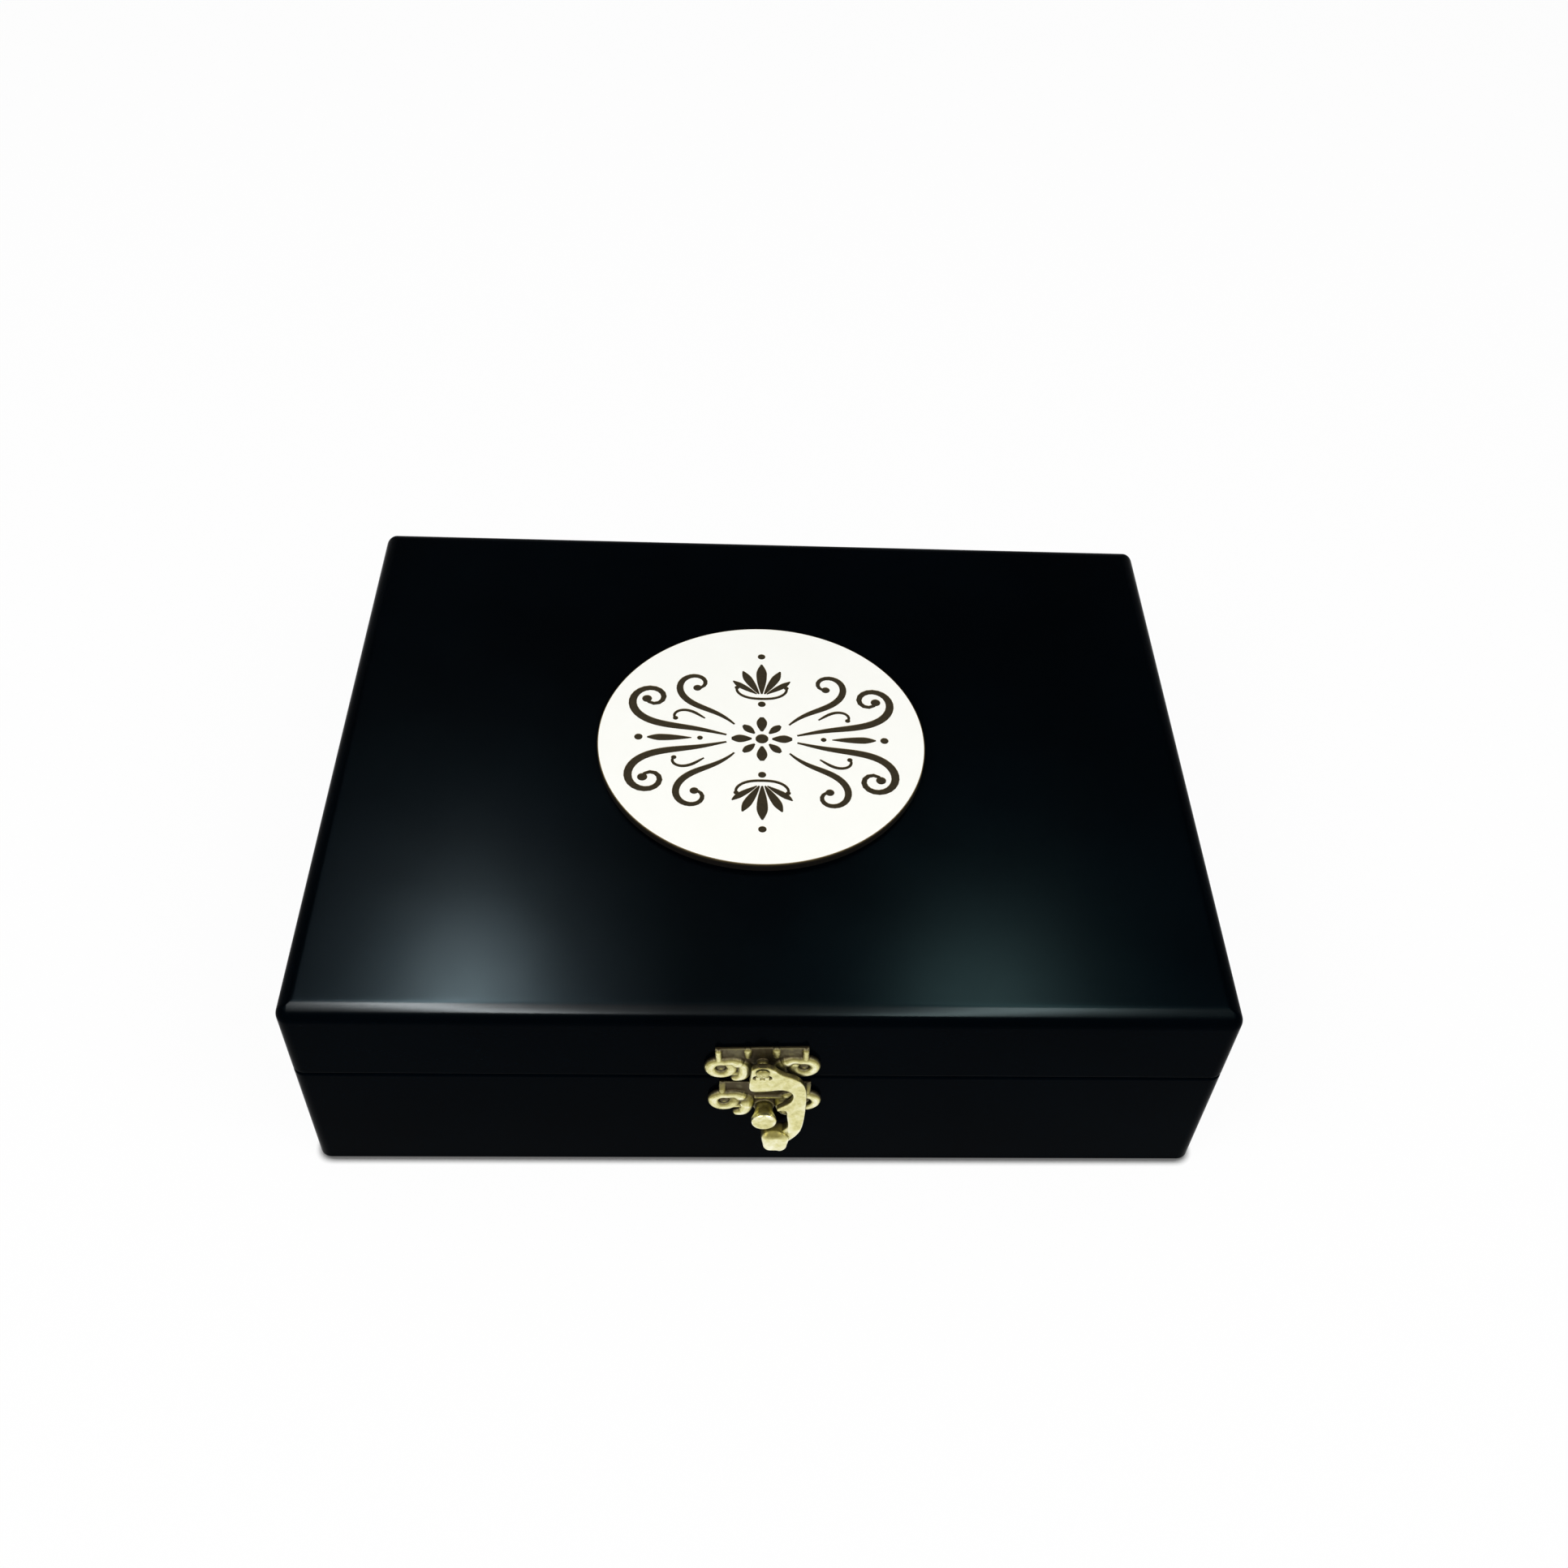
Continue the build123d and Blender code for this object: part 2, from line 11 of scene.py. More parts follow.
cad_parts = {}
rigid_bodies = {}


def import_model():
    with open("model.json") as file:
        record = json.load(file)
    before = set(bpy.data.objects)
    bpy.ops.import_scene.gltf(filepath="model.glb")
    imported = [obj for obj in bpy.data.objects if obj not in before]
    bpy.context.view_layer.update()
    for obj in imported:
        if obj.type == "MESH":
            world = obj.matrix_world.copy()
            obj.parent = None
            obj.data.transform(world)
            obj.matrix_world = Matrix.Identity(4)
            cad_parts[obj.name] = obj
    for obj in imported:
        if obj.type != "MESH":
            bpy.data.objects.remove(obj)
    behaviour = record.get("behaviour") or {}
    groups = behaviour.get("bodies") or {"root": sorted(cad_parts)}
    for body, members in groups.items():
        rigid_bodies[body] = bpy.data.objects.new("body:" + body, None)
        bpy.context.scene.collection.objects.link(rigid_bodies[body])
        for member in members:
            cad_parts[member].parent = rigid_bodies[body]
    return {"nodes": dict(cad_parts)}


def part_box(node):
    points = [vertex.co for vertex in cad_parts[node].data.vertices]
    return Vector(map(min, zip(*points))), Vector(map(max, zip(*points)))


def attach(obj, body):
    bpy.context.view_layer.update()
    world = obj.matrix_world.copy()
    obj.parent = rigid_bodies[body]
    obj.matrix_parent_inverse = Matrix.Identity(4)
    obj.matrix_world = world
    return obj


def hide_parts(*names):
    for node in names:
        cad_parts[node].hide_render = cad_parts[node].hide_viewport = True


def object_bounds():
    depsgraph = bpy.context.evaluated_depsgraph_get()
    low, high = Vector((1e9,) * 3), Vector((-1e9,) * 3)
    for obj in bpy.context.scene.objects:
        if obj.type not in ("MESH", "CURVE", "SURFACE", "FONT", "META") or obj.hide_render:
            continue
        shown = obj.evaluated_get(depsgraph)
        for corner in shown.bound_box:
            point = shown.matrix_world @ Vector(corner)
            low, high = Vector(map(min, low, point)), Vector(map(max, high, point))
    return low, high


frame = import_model()
cad_low, cad_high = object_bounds()

MM = 0.001
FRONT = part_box("lid_front")[0].y / MM

BOARDS = [half + "_" + side for half in ("base", "lid") for side in ("front", "back", "left", "right")]
BOARDS += ["base_floor"]
HINGE_PARTS = ["hinge_" + half + "_leaf_" + side for half in ("base", "lid") for side in ("left", "right")]
SCREWS = ["hinge_base_screws", "hinge_lid_screws"]
PINS = ["hinge_pin_left", "hinge_pin_right"]
NAILS = ["latch_upper_nails", "latch_keeper_nails"]


# ---------------------------------------------------------------- camera

CAMERA_PLACE = Vector((-12.3, -341.8, 430.2)) * MM
CAMERA_AZIMUTH = 5.0
CAMERA_TILT_DOWN = 47.69
CAMERA_ROLL = 4.61
CAMERA_LENS = 36.82
CAMERA_SENSOR = 36.0
CAMERA_SHIFT = (-0.0227, 0.0064)
CAMERA_NEAREST = 0.01


def camera():
    """The photograph's camera: where it stands, how it looks down, its roll and its lens."""
    azimuth, tilt, roll = (math.radians(a) for a in (CAMERA_AZIMUTH, CAMERA_TILT_DOWN, CAMERA_ROLL))
    level_reach = math.cos(tilt)
    forward = Vector((math.sin(azimuth) * level_reach, math.cos(azimuth) * level_reach, -math.sin(tilt)))
    level = forward.cross(Vector((0, 0, 1))).normalized()
    upward = level.cross(forward)
    right = level * math.cos(roll) + upward * math.sin(roll)
    above = right.cross(forward)
    data = bpy.data.cameras.new("camera")
    data.lens = CAMERA_LENS
    data.sensor_width = CAMERA_SENSOR
    data.shift_x, data.shift_y = CAMERA_SHIFT
    data.clip_start = CAMERA_NEAREST
    place = bpy.data.objects.new("camera", data)
    axes = Matrix((right, above, -forward)).transposed()
    place.matrix_world = Matrix.Translation(CAMERA_PLACE) @ axes.to_4x4()
    bpy.context.scene.collection.objects.link(place)
    bpy.context.scene.camera = place


# ---------------------------------------------------------------- node helpers

AO_SAMPLES = 8


def material(name):
    """A new node material: its node tree and its Principled shader."""
    made = bpy.data.materials.new(name)
    made.use_nodes = True
    return made, made.node_tree, made.node_tree.nodes["Principled BSDF"]


def plug(tree, made, socket, value):
    """Set a node's socket, given by name or number, or link another node's output to it."""
    target = made.inputs[socket]
    if isinstance(value, bpy.types.NodeSocket):
        tree.links.new(value, target)
    else:
        target.default_value = value


def maths(tree, operation, first, second=0.0, clamp=False):
    """A Math node's output."""
    made = tree.nodes.new("ShaderNodeMath")
    made.operation = operation
    made.use_clamp = clamp
    plug(tree, made, 0, first)
    plug(tree, made, 1, second)
    return made.outputs[0]


def place_on(tree, scale=(1, 1, 1)):
    """Object coordinates in metres, stretched by a scale along each axis."""
    where = tree.nodes.new("ShaderNodeTexCoord")
    mapping = tree.nodes.new("ShaderNodeMapping")
    tree.links.new(where.outputs["Object"], mapping.inputs["Vector"])
    mapping.inputs["Scale"].default_value = scale
    return mapping.outputs[0]


def axis(tree, name):
    """One object coordinate in millimetres."""
    parts = tree.nodes.new("ShaderNodeSeparateXYZ")
    tree.links.new(place_on(tree), parts.inputs[0])
    return maths(tree, "DIVIDE", parts.outputs[name], MM)


def noise(tree, scale, detail, roughness=0.5, stretch=(1, 1, 1)):
    """Noise whose grain is 1/scale metres across."""
    made = tree.nodes.new("ShaderNodeTexNoise")
    tree.links.new(place_on(tree, stretch), made.inputs["Vector"])
    made.inputs["Scale"].default_value = scale
    made.inputs["Detail"].default_value = detail
    made.inputs["Roughness"].default_value = roughness
    return made.outputs["Fac"]


def span(tree, value, low, high, start=0.0, end=1.0):
    """Value mapped from start..end to low..high, clamped."""
    made = tree.nodes.new("ShaderNodeMapRange")
    plug(tree, made, "Value", value)
    plug(tree, made, "From Min", start)
    plug(tree, made, "From Max", end)
    plug(tree, made, "To Min", low)
    plug(tree, made, "To Max", high)
    return made.outputs[0]


def blend_colours(tree, factor, first, second):
    """Colour between two, by a factor."""
    made = tree.nodes.new("ShaderNodeMix")
    made.data_type = "RGBA"
    plug(tree, made, 0, factor)
    plug(tree, made, 6, first)
    plug(tree, made, 7, second)
    return made.outputs[2]


def tones(tree, level, stops):
    """Colour at a level between stops, each a level and its colour."""
    made = tree.nodes.new("ShaderNodeValToRGB")
    marks = made.color_ramp.elements
    while len(marks) < len(stops):
        marks.new(0.5)
    for mark, (position, colour) in zip(marks, stops):
        mark.position = position
        mark.color = colour
    tree.links.new(level, made.inputs[0])
    return made.outputs[0]


def openness(tree, reach):
    """How much of the surroundings within a reach is open: 1 on a free face, less in a crevice."""
    made = tree.nodes.new("ShaderNodeAmbientOcclusion")
    made.samples = AO_SAMPLES
    made.inputs["Distance"].default_value = reach
    return made.outputs["AO"]


def bump(tree, height, depth, strength):
    """Bumped normal, of a depth in metres."""
    made = tree.nodes.new("ShaderNodeBump")
    made.inputs["Strength"].default_value = strength
    made.inputs["Distance"].default_value = depth
    plug(tree, made, "Height", height)
    return made.outputs[0]


def finish_shader(tree, shader, colour, roughness, normal, constants):
    """Give a shader its colour, roughness and normal, and the sockets that are the same all over."""
    plug(tree, shader, "Base Color", colour)
    plug(tree, shader, "Roughness", roughness)
    plug(tree, shader, "Normal", normal)
    for socket, value in constants.items():
        shader.inputs[socket].default_value = value


# ---------------------------------------------------------------- lacquer

LACQUER = ((0.0001, 0.0004, 0.0009, 1), (0.0002, 0.0008, 0.0016, 1))
LACQUER_GLOSS = {"Specular IOR Level": 0.005, "Specular Tint": (0.6, 0.93, 1.0, 1)}
SATIN = (0.17, 0.19)
RUBBED = (0.012, 0.011, 0.009, 1)
RUBBED_DULLER = 0.12
WEAR_REACH = 0.9


def outer_edge(tree):
    """Distance in millimetres to the nearest outer edge of the closed box, where two of its faces meet."""
    half_width, half_depth = cad_high.x / MM, -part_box("lid_top")[0].y / MM
    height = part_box("lid_top")[1].z / MM
    from_side = maths(tree, "SUBTRACT", half_width, maths(tree, "ABSOLUTE", axis(tree, "X")))
    from_front = maths(tree, "SUBTRACT", half_depth, maths(tree, "ABSOLUTE", axis(tree, "Y")))
    from_middle = maths(tree, "ABSOLUTE", maths(tree, "SUBTRACT", axis(tree, "Z"), height / 2))
    from_end = maths(tree, "SUBTRACT", height / 2, from_middle)
    nearer = maths(tree, "MINIMUM", from_side, from_front)
    farther = maths(tree, "MAXIMUM", from_side, from_front)
    return maths(tree, "MAXIMUM", nearer, maths(tree, "MINIMUM", farther, from_end))


def lacquer():
    """Satin black lacquer with a blue-green cast, sprayed smooth and a little rubbed at its edges."""
    made, tree, shader = material("satin_lacquer")
    cloud = span(tree, noise(tree, scale=14, detail=3), 0, 1, start=0.35, end=0.65)
    near = span(tree, outer_edge(tree), 1, 0, start=0, end=WEAR_REACH)
    rubs = span(tree, noise(tree, scale=260, detail=4, roughness=0.65), 0, 1, start=0.5, end=0.72)
    worn = maths(tree, "MULTIPLY", near, rubs, clamp=True)
    colour = blend_colours(tree, worn, blend_colours(tree, cloud, *LACQUER), RUBBED)
    satin = span(tree, noise(tree, scale=60, detail=4, roughness=0.6), *SATIN, start=0.3, end=0.7)
    roughness = maths(tree, "ADD", satin, maths(tree, "MULTIPLY", worn, RUBBED_DULLER))
    peel = bump(tree, noise(tree, scale=900, detail=2), depth=0.000004, strength=0.5)
    finish_shader(tree, shader, colour, roughness, peel, LACQUER_GLOSS)
    return made


# ---------------------------------------------------------------- plaque's finishes

CREAM = ((0.965, 0.965, 0.905, 1), (0.99, 0.99, 0.945, 1))
CHAR = ((0.016, 0.012, 0.006, 1), (0.050, 0.038, 0.018, 1))
CHARRED_RIM = (0.004, 0.003, 0.002, 1)
SCORCHED_LIP = (0.30, 0.225, 0.10, 1)
SCORCH_DEPTH = 0.35
SCORCH_LIP = 0.08


def cream():
    """Matt cream coating of the plaque, over a faintly fibrous board."""
    made, tree, shader = material("cream_coating")
    colour = blend_colours(tree, noise(tree, scale=90, detail=3), *CREAM)
    roughness = span(tree, noise(tree, scale=500, detail=3), 0.5, 0.62)
    fibres = noise(tree, scale=420, detail=4, roughness=0.6, stretch=(1, 6, 1))
    normal = bump(tree, fibres, depth=0.00003, strength=0.35)
    finish_shader(tree, shader, colour, roughness, normal, {"Specular IOR Level": 0.25})
    return made


def scorch():
    """Board burnt by the engraving tool: browner at the grooves' lips, and blackest on the disc's rim."""
    made, tree, shader = material("scorched_board")
    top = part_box("plaque")[1].z / MM
    depth = maths(tree, "SUBTRACT", top, axis(tree, "Z"))
    stripes = noise(tree, scale=900, detail=3, roughness=0.6, stretch=(1, 1, 0.06))
    below_grooves = span(tree, depth, 0, 1, start=1.5 * SCORCH_DEPTH, end=2.5 * SCORCH_DEPTH)
    dark = blend_colours(tree, below_grooves, blend_colours(tree, stripes, *CHAR), CHARRED_RIM)
    below_lip = span(tree, depth, 0, 1, start=0, end=1.6 * SCORCH_LIP)
    colour = blend_colours(tree, below_lip, SCORCHED_LIP, dark)
    roughness = span(tree, stripes, 0.6, 0.85)
    normal = bump(tree, stripes, depth=0.00006, strength=0.7)
    finish_shader(tree, shader, colour, roughness, normal, {"Specular IOR Level": 0.15})
    return made


# ---------------------------------------------------------------- metals

METAL = {"Metallic": 1.0}
# the latch's brass from its painted shade in recesses to its painted highlight on crests: each level and its
# colour
SHADED_BRASS_TONES = [
    (0.0, (0.075, 0.058, 0.030, 1)),
    (0.15, (0.135, 0.118, 0.065, 1)),
    (0.42, (0.270, 0.235, 0.070, 1)),
    (0.72, (0.740, 0.700, 0.330, 1)),
    (0.94, (0.970, 0.950, 0.700, 1)),
]
# painted light of the latch: level at the proud height, random tone, gain of the painted crest highlight and
# hollow shade, reach of the painted crevice shade, and the share kept on upper faces
PROUD_LEVEL = 0.82
MOTTLE = 0.7
CREST_HIGHLIGHT_GAIN = 0.35
CREVICE_SHADE_REACH = 1.6
UPWARD_SHADE_SHARE = 0.45
YELLOW_BRASS = ((0.70, 0.50, 0.19, 1), (0.40, 0.26, 0.09, 1))
PALE_BRASS = ((0.90, 0.76, 0.42, 1), (0.68, 0.54, 0.26, 1))
SLOT_DARK = (0.04, 0.03, 0.012, 1)
SCREW_FACE = 0.2
SLOT_FLOOR = 0.35
STEEL = ((0.42, 0.42, 0.43, 1), (0.6, 0.6, 0.61, 1))


def latch_brass(name, ground, proud, upward_share=UPWARD_SHADE_SHARE):
    """Pale plated brass: painted shade at the ground, painted highlight at the proud, in mm off the face.

    Pointiness paints highlight on crests and shade in hollows, painted shade darkens crevices, and what faces
    up keeps only its upward share of the level.
    """
    made, tree, shader = material(name)
    # painted shade low on the face, rising to a painted highlight at the proud height, with random tone
    out = maths(tree, "SUBTRACT", FRONT, axis(tree, "Y"))
    patch = noise(tree, scale=420, detail=4, roughness=0.6)
    mottle = maths(tree, "MULTIPLY", maths(tree, "SUBTRACT", patch, 0.5), MOTTLE)
    level = maths(tree, "ADD", span(tree, out, 0, PROUD_LEVEL, start=ground, end=proud), mottle)
    # painted highlight on convex crests and painted shade in concave hollows, by pointiness
    geometry = tree.nodes.new("ShaderNodeNewGeometry")
    crest = span(tree, geometry.outputs["Pointiness"], -CREST_HIGHLIGHT_GAIN, CREST_HIGHLIGHT_GAIN, start=0.44, end=0.56)
    level = maths(tree, "ADD", level, crest)
    # painted shade in crevices and between parts, where the surroundings close in within the reach
    crevice_shade = span(tree, openness(tree, CREVICE_SHADE_REACH * MM), 0.2, 1, start=0.25, end=0.85)
    level = maths(tree, "MULTIPLY", level, crevice_shade, clamp=True)
    # painted shade on what faces up: the level falls to the upward share there
    facing = tree.nodes.new("ShaderNodeSeparateXYZ")
    tree.links.new(tree.nodes.new("ShaderNodeTexCoord").outputs["Normal"], facing.inputs[0])
    upward_shade = span(tree, facing.outputs["Z"], 1, upward_share, start=0.15, end=0.8)
    level = maths(tree, "MULTIPLY", level, upward_shade)
    normal = bump(tree, noise(tree, scale=1500, detail=3), depth=0.00002, strength=0.12)
    finish_shader(tree, shader, tones(tree, level, SHADED_BRASS_TONES), span(tree, level, 0.5, 0.28), normal, METAL)
    return made


def hinge_brass():
    """Yellow brass, browner where it is dull, with fine rolling lines."""
    made, tree, shader = material("hinge_brass")
    patch = noise(tree, scale=420, detail=4, roughness=0.6)
    colour = blend_colours(tree, span(tree, patch, 0, 1, start=0.35, end=0.7), *YELLOW_BRASS)
    roughness = span(tree, patch, 0.25, 0.4, start=0.3, end=0.7)
    lines = noise(tree, scale=700, detail=3, roughness=0.6, stretch=(0.06, 1, 1))
    finish_shader(tree, shader, colour, roughness, bump(tree, lines, depth=0.00001, strength=0.4), METAL)
    return made


def screw_brass():
    """Paler brass of the hinge screws, darker down in their slots."""
    made, tree, shader = material("screw_brass")
    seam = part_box("base_front")[1].z / MM
    depth = maths(tree, "ABSOLUTE", maths(tree, "SUBTRACT", axis(tree, "Z"), seam))
    # darker by depth below the screw face, down in the slots
    slot = span(tree, depth, 0, 1, start=SCREW_FACE, end=SLOT_FLOOR)
    patch = noise(tree, scale=600, detail=3)
    colour = blend_colours(tree, slot, blend_colours(tree, patch, *PALE_BRASS), SLOT_DARK)
    roughness = span(tree, patch, 0.3, 0.45, start=0.3, end=0.7)
    normal = bump(tree, noise(tree, scale=1500, detail=3), depth=0.00002, strength=0.3)
    finish_shader(tree, shader, colour, roughness, normal, METAL)
    return made


def steel():
    """Drawn steel of the hinge pins."""
    made, tree, shader = material("drawn_steel")
    lines = noise(tree, scale=300, detail=3, roughness=0.6, stretch=(1, 12, 12))
    colour = blend_colours(tree, lines, *STEEL)
    normal = bump(tree, lines, depth=0.00001, strength=0.4)
    finish_shader(tree, shader, colour, span(tree, lines, 0.28, 0.42), normal, METAL)
    return made


# ---------------------------------------------------------------- felt

FELT = ((0.003, 0.003, 0.004, 1), (0.033, 0.033, 0.038, 1))
FELT_SHEEN = {"Specular IOR Level": 0.1, "Sheen Weight": 0.15, "Sheen Roughness": 0.5}
FELT_ROUGHNESS = 0.95
NAP_SHARE = 0.55
RUBBED_SHARE = 0.45


def felt():
    """Short-napped black felt, rubbed this way and that in soft patches."""
    made, tree, shader = material("black_felt")
    nap = noise(tree, scale=1500, detail=4, roughness=0.75)
    patch = noise(tree, scale=42, detail=4, roughness=0.6, stretch=(1, 1.7, 1))
    rubbed = span(tree, patch, 0, RUBBED_SHARE, start=0.35, end=0.65)
    level = maths(tree, "ADD", maths(tree, "MULTIPLY", nap, NAP_SHARE), rubbed)
    normal = bump(tree, nap, depth=0.0004, strength=0.8)
    finish_shader(tree, shader, blend_colours(tree, level, *FELT), FELT_ROUGHNESS, normal, FELT_SHEEN)
    return made


def dress(names, coat):
    """Give CAD nodes a material."""
    for name in names:
        slots = frame["nodes"][name].data.materials
        if len(slots) == 0:
            slots.append(coat)
        for index in range(len(slots)):
            slots[index] = coat


# ---------------------------------------------------------------- mesh helpers, in millimetres

BEAD_SIDES = 14
BEAD_TIPS = [math.radians(a) for a in (12, 35, 60)]
LOWEST = 0.1
VOXEL = 0.13


def arc(x, y, radius, start, end, steps=24):
    """Points on an arc between two angles in degrees."""
    angles = [math.radians(a) for a in np.linspace(start, end, steps)]
    return [(x + radius * math.cos(a), y + radius * math.sin(a)) for a in angles]


def through(points, steps=8):
    """Smooth path through points, with so many steps from each one to the next."""
    padded = [points[0], *points, points[-1]]
    path = []
    for before, start, end, after in zip(padded, padded[1:], padded[2:], padded[3:]):
        before, start, end, after = (np.array(p, float) for p in (before, start, end, after))
        for t in np.arange(steps) / steps:
            bend = (end - before) * t + (2 * before - 5 * start + 4 * end - after) * t ** 2
            bend += (3 * start - before - 3 * end + after) * t ** 3
            path.append(tuple(start + bend / 2))
    path.append(tuple(points[-1]))
    return path


def headings(points):
    """Unit direction of travel at each point of a path."""
    along = np.gradient(points, axis=0)
    return along / np.linalg.norm(along, axis=1)[:, None]


def shell(clay, place, rings):
    """Closed shell through rings that have as many points each."""
    loops = [[clay.verts.new(place @ Vector(point)) for point in ring] for ring in rings]
    for first, second in zip(loops, loops[1:]):
        for k in range(len(first)):
            after = (k + 1) % len(first)
            clay.faces.new((first[k], first[after], second[after], second[k]))
    clay.faces.new(loops[0][::-1])
    clay.faces.new(loops[-1])


def turned(clay, place, x, y, profile, turns=40):
    """Solid of revolution about an axis square to the face; its profile is (radius, height) points."""
    angles = [2 * math.pi * k / turns for k in range(turns)]
    shell(clay, place, [[(x + r * math.cos(a), y + r * math.sin(a), d) for a in angles] for r, d in profile])


def bar(clay, place, x_span, y_span, top):
    """Block between two values of x and of y, up to a height."""
    (x0, x1), (y0, y1) = x_span, y_span
    shell(clay, place, [[(x0, y0, d), (x1, y0, d), (x1, y1, d), (x0, y1, d)] for d in (LOWEST, top)])


def bead(clay, place, path, half_width, base, crest):
    """Round-ended bead along a path; its half width and its crest may change along it."""
    points = np.array(path, float)
    where = np.linspace(0, 1, len(points))
    widths = np.interp(where, np.linspace(0, 1, len(half_width)), half_width)
    crests = np.interp(where, np.linspace(0, 1, len(crest)), crest)
    sections = [(*section, 1.0) for section in zip(points, headings(points), widths, crests)]
    first, last = sections[0], sections[-1]
    start = [(first[0] - first[1] * first[2] * math.cos(a), *first[1:4], math.sin(a)) for a in BEAD_TIPS]
    end = [(last[0] + last[1] * last[2] * math.cos(a), *last[1:4], math.sin(a)) for a in BEAD_TIPS[::-1]]
    rings = []
    for centre, heading, width, top, size in start + sections + end:
        ring = []
        for turn in np.linspace(0, 2 * math.pi, BEAD_SIDES, endpoint=False):
            across = width * size * math.cos(turn)
            height = max(LOWEST, base + (top - base) * size * math.sin(turn))
            ring.append((centre[0] - heading[1] * across, centre[1] + heading[0] * across, height))
        rings.append(ring)
    shell(clay, place, rings)


def finished(name, mesh, coats, body, node):
    """New piece from a mesh in millimetres: its materials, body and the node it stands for."""
    mesh.transform(Matrix.Diagonal((MM, MM, MM, 1)))
    for coat in coats:
        mesh.materials.append(coat)
    made = bpy.data.objects.new(name, mesh)
    bpy.context.scene.collection.objects.link(made)
    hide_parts(node)
    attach(made, body)
    return made


def shaped(name, clay):
    """Object, not in the scene yet, of some clay, which is used up."""
    bmesh.ops.recalc_face_normals(clay, faces=clay.faces)
    mesh = bpy.data.meshes.new(name)
    clay.to_mesh(mesh)
    clay.free()
    return bpy.data.objects.new(name, mesh)


def applied(name, clay, modifiers):
    """Mesh of some clay after modifiers, each given by its kind and settings."""
    holder = shaped(name, clay)
    bpy.context.scene.collection.objects.link(holder)
    for kind, settings in modifiers:
        modifier = holder.modifiers.new(kind, kind)
        for key, value in settings.items():
            setattr(modifier, key, value)
    graph = bpy.context.evaluated_depsgraph_get()
    result = bpy.data.meshes.new_from_object(holder.evaluated_get(graph))
    result.name = name
    # removing the clay's mesh takes its object with it
    bpy.data.meshes.remove(holder.data)
    return result


def cast(name, clay, softness):
    """Melt overlapping shells into one casting and soften its edges by so many passes."""
    steps = [("REMESH", {"mode": "VOXEL", "voxel_size": VOXEL})]
    steps.append(("SMOOTH", {"factor": 0.5, "iterations": softness}))
    mesh = applied(name, clay, steps)
    mesh.shade_smooth()
    return mesh


# ---------------------------------------------------------------- lid board

LID_CORNER = 3.7
LID_ROUND = 5.0
LID_CORNER_LEAST = 0.6
LID_RINGS = 24
CORNER_STEPS = 16
TOP_MARGIN = 0.8
CREASE = math.radians(40)


def rounded_outline(low, high, inset, z):
    """Rectangle with round corners, moved in by an inset, at a height."""
    keep = max(LID_CORNER, inset + LID_CORNER_LEAST)
    corners = [(high.x - keep, high.y - keep, 0), (low.x + keep, high.y - keep, 90),
               (low.x + keep, low.y + keep, 180), (high.x - keep, low.y + keep, 270)]
    ring = []
    for x, y, start in corners:
        ring += [(*point, z) for point in arc(x, y, keep - inset, start, start + 90, CORNER_STEPS)]
    return ring


def lid_board(coat):
    """Top board of the lid, rounded over at its upper edges finely enough for an even gloss."""
    low, high = (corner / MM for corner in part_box("lid_top"))
    turns = np.linspace(0, math.pi / 2, LID_RINGS)
    profile = [(LID_ROUND * (1 - math.cos(t)), high.z - LID_ROUND * (1 - math.sin(t))) for t in turns]
    profile = [(0, low.z), *profile, (LID_ROUND + TOP_MARGIN, high.z)]
    clay = bmesh.new()
    shell(clay, Matrix(), [rounded_outline(low, high, inset, z) for inset, z in profile])
    mesh = applied("lid_board", clay, [])
    mesh.shade_smooth()
    mesh.set_sharp_from_angle(angle=CREASE)
    return finished("lid_board", mesh, [coat], "lid", "lid_top")


# ---------------------------------------------------------------- plaque

DISC_TURNS = 256
RIM_EASE = 0.3
RIM_EASE_MIDDLE = 0.3 * RIM_EASE
GROOVE_LIP = 0.2
GROOVE_FLOOR = 0.8
DOT_FLOOR = 0.85
DOT_TURNS = 20
STROKE_STEPS = 36
BURNT_BELOW = 0.01
BURNT_RIM = 0.1 * RIM_EASE


def stroke(start, heading, length, turns, width, tips, swell):
    """Pen stroke that bends by turns, in degrees per millimetre along it, as (x, y, width) points.

    Its width grows from the first tip's share to the whole at the swell, and falls to the last tip's share.
    """
    x, y = start
    angle = math.radians(heading)
    step = length / STROKE_STEPS
    points = []
    for t in np.linspace(0, 1, STROKE_STEPS + 1):
        tip = tips[0] if t < swell else tips[1]
        fullness = t / swell if t < swell else (1 - t) / (1 - swell)
        points.append((x, y, width * (tip + (1 - tip) * math.sin(math.pi / 2 * fullness))))
        angle += math.radians(np.interp(t, np.linspace(0, 1, len(turns)), turns)) * step
        x += math.cos(angle) * step
        y += math.sin(angle) * step
    return points


def groove(clay, place, points):
    """Cutter for a stroke: a lip that flares at the surface and sides that close in below it."""
    spine = np.array(points)[:, :2]
    rings = []
    for (x, y, width), (ahead_x, ahead_y) in zip(points, headings(spine)):
        half = width / 2
        floor = GROOVE_FLOOR * half
        section = [(-half - GROOVE_LIP, SCORCH_LIP), (half + GROOVE_LIP, SCORCH_LIP), (half, -SCORCH_LIP)]
        section += [(floor, -SCORCH_DEPTH), (-floor, -SCORCH_DEPTH), (-half, -SCORCH_LIP)]
        rings.append([(x - ahead_y * across, y + ahead_x * across, up) for across, up in section])
    shell(clay, place, rings)


def dot(clay, place, shape):
    """Cutter for a round dot, (x, y, radius), with the same lip and depth as a stroke's."""
    x, y, radius = shape
    profile = [(DOT_FLOOR * radius, -SCORCH_DEPTH), (radius, -SCORCH_LIP), (radius + GROOVE_LIP, SCORCH_LIP)]
    turned(clay, place, x, y, profile, DOT_TURNS)


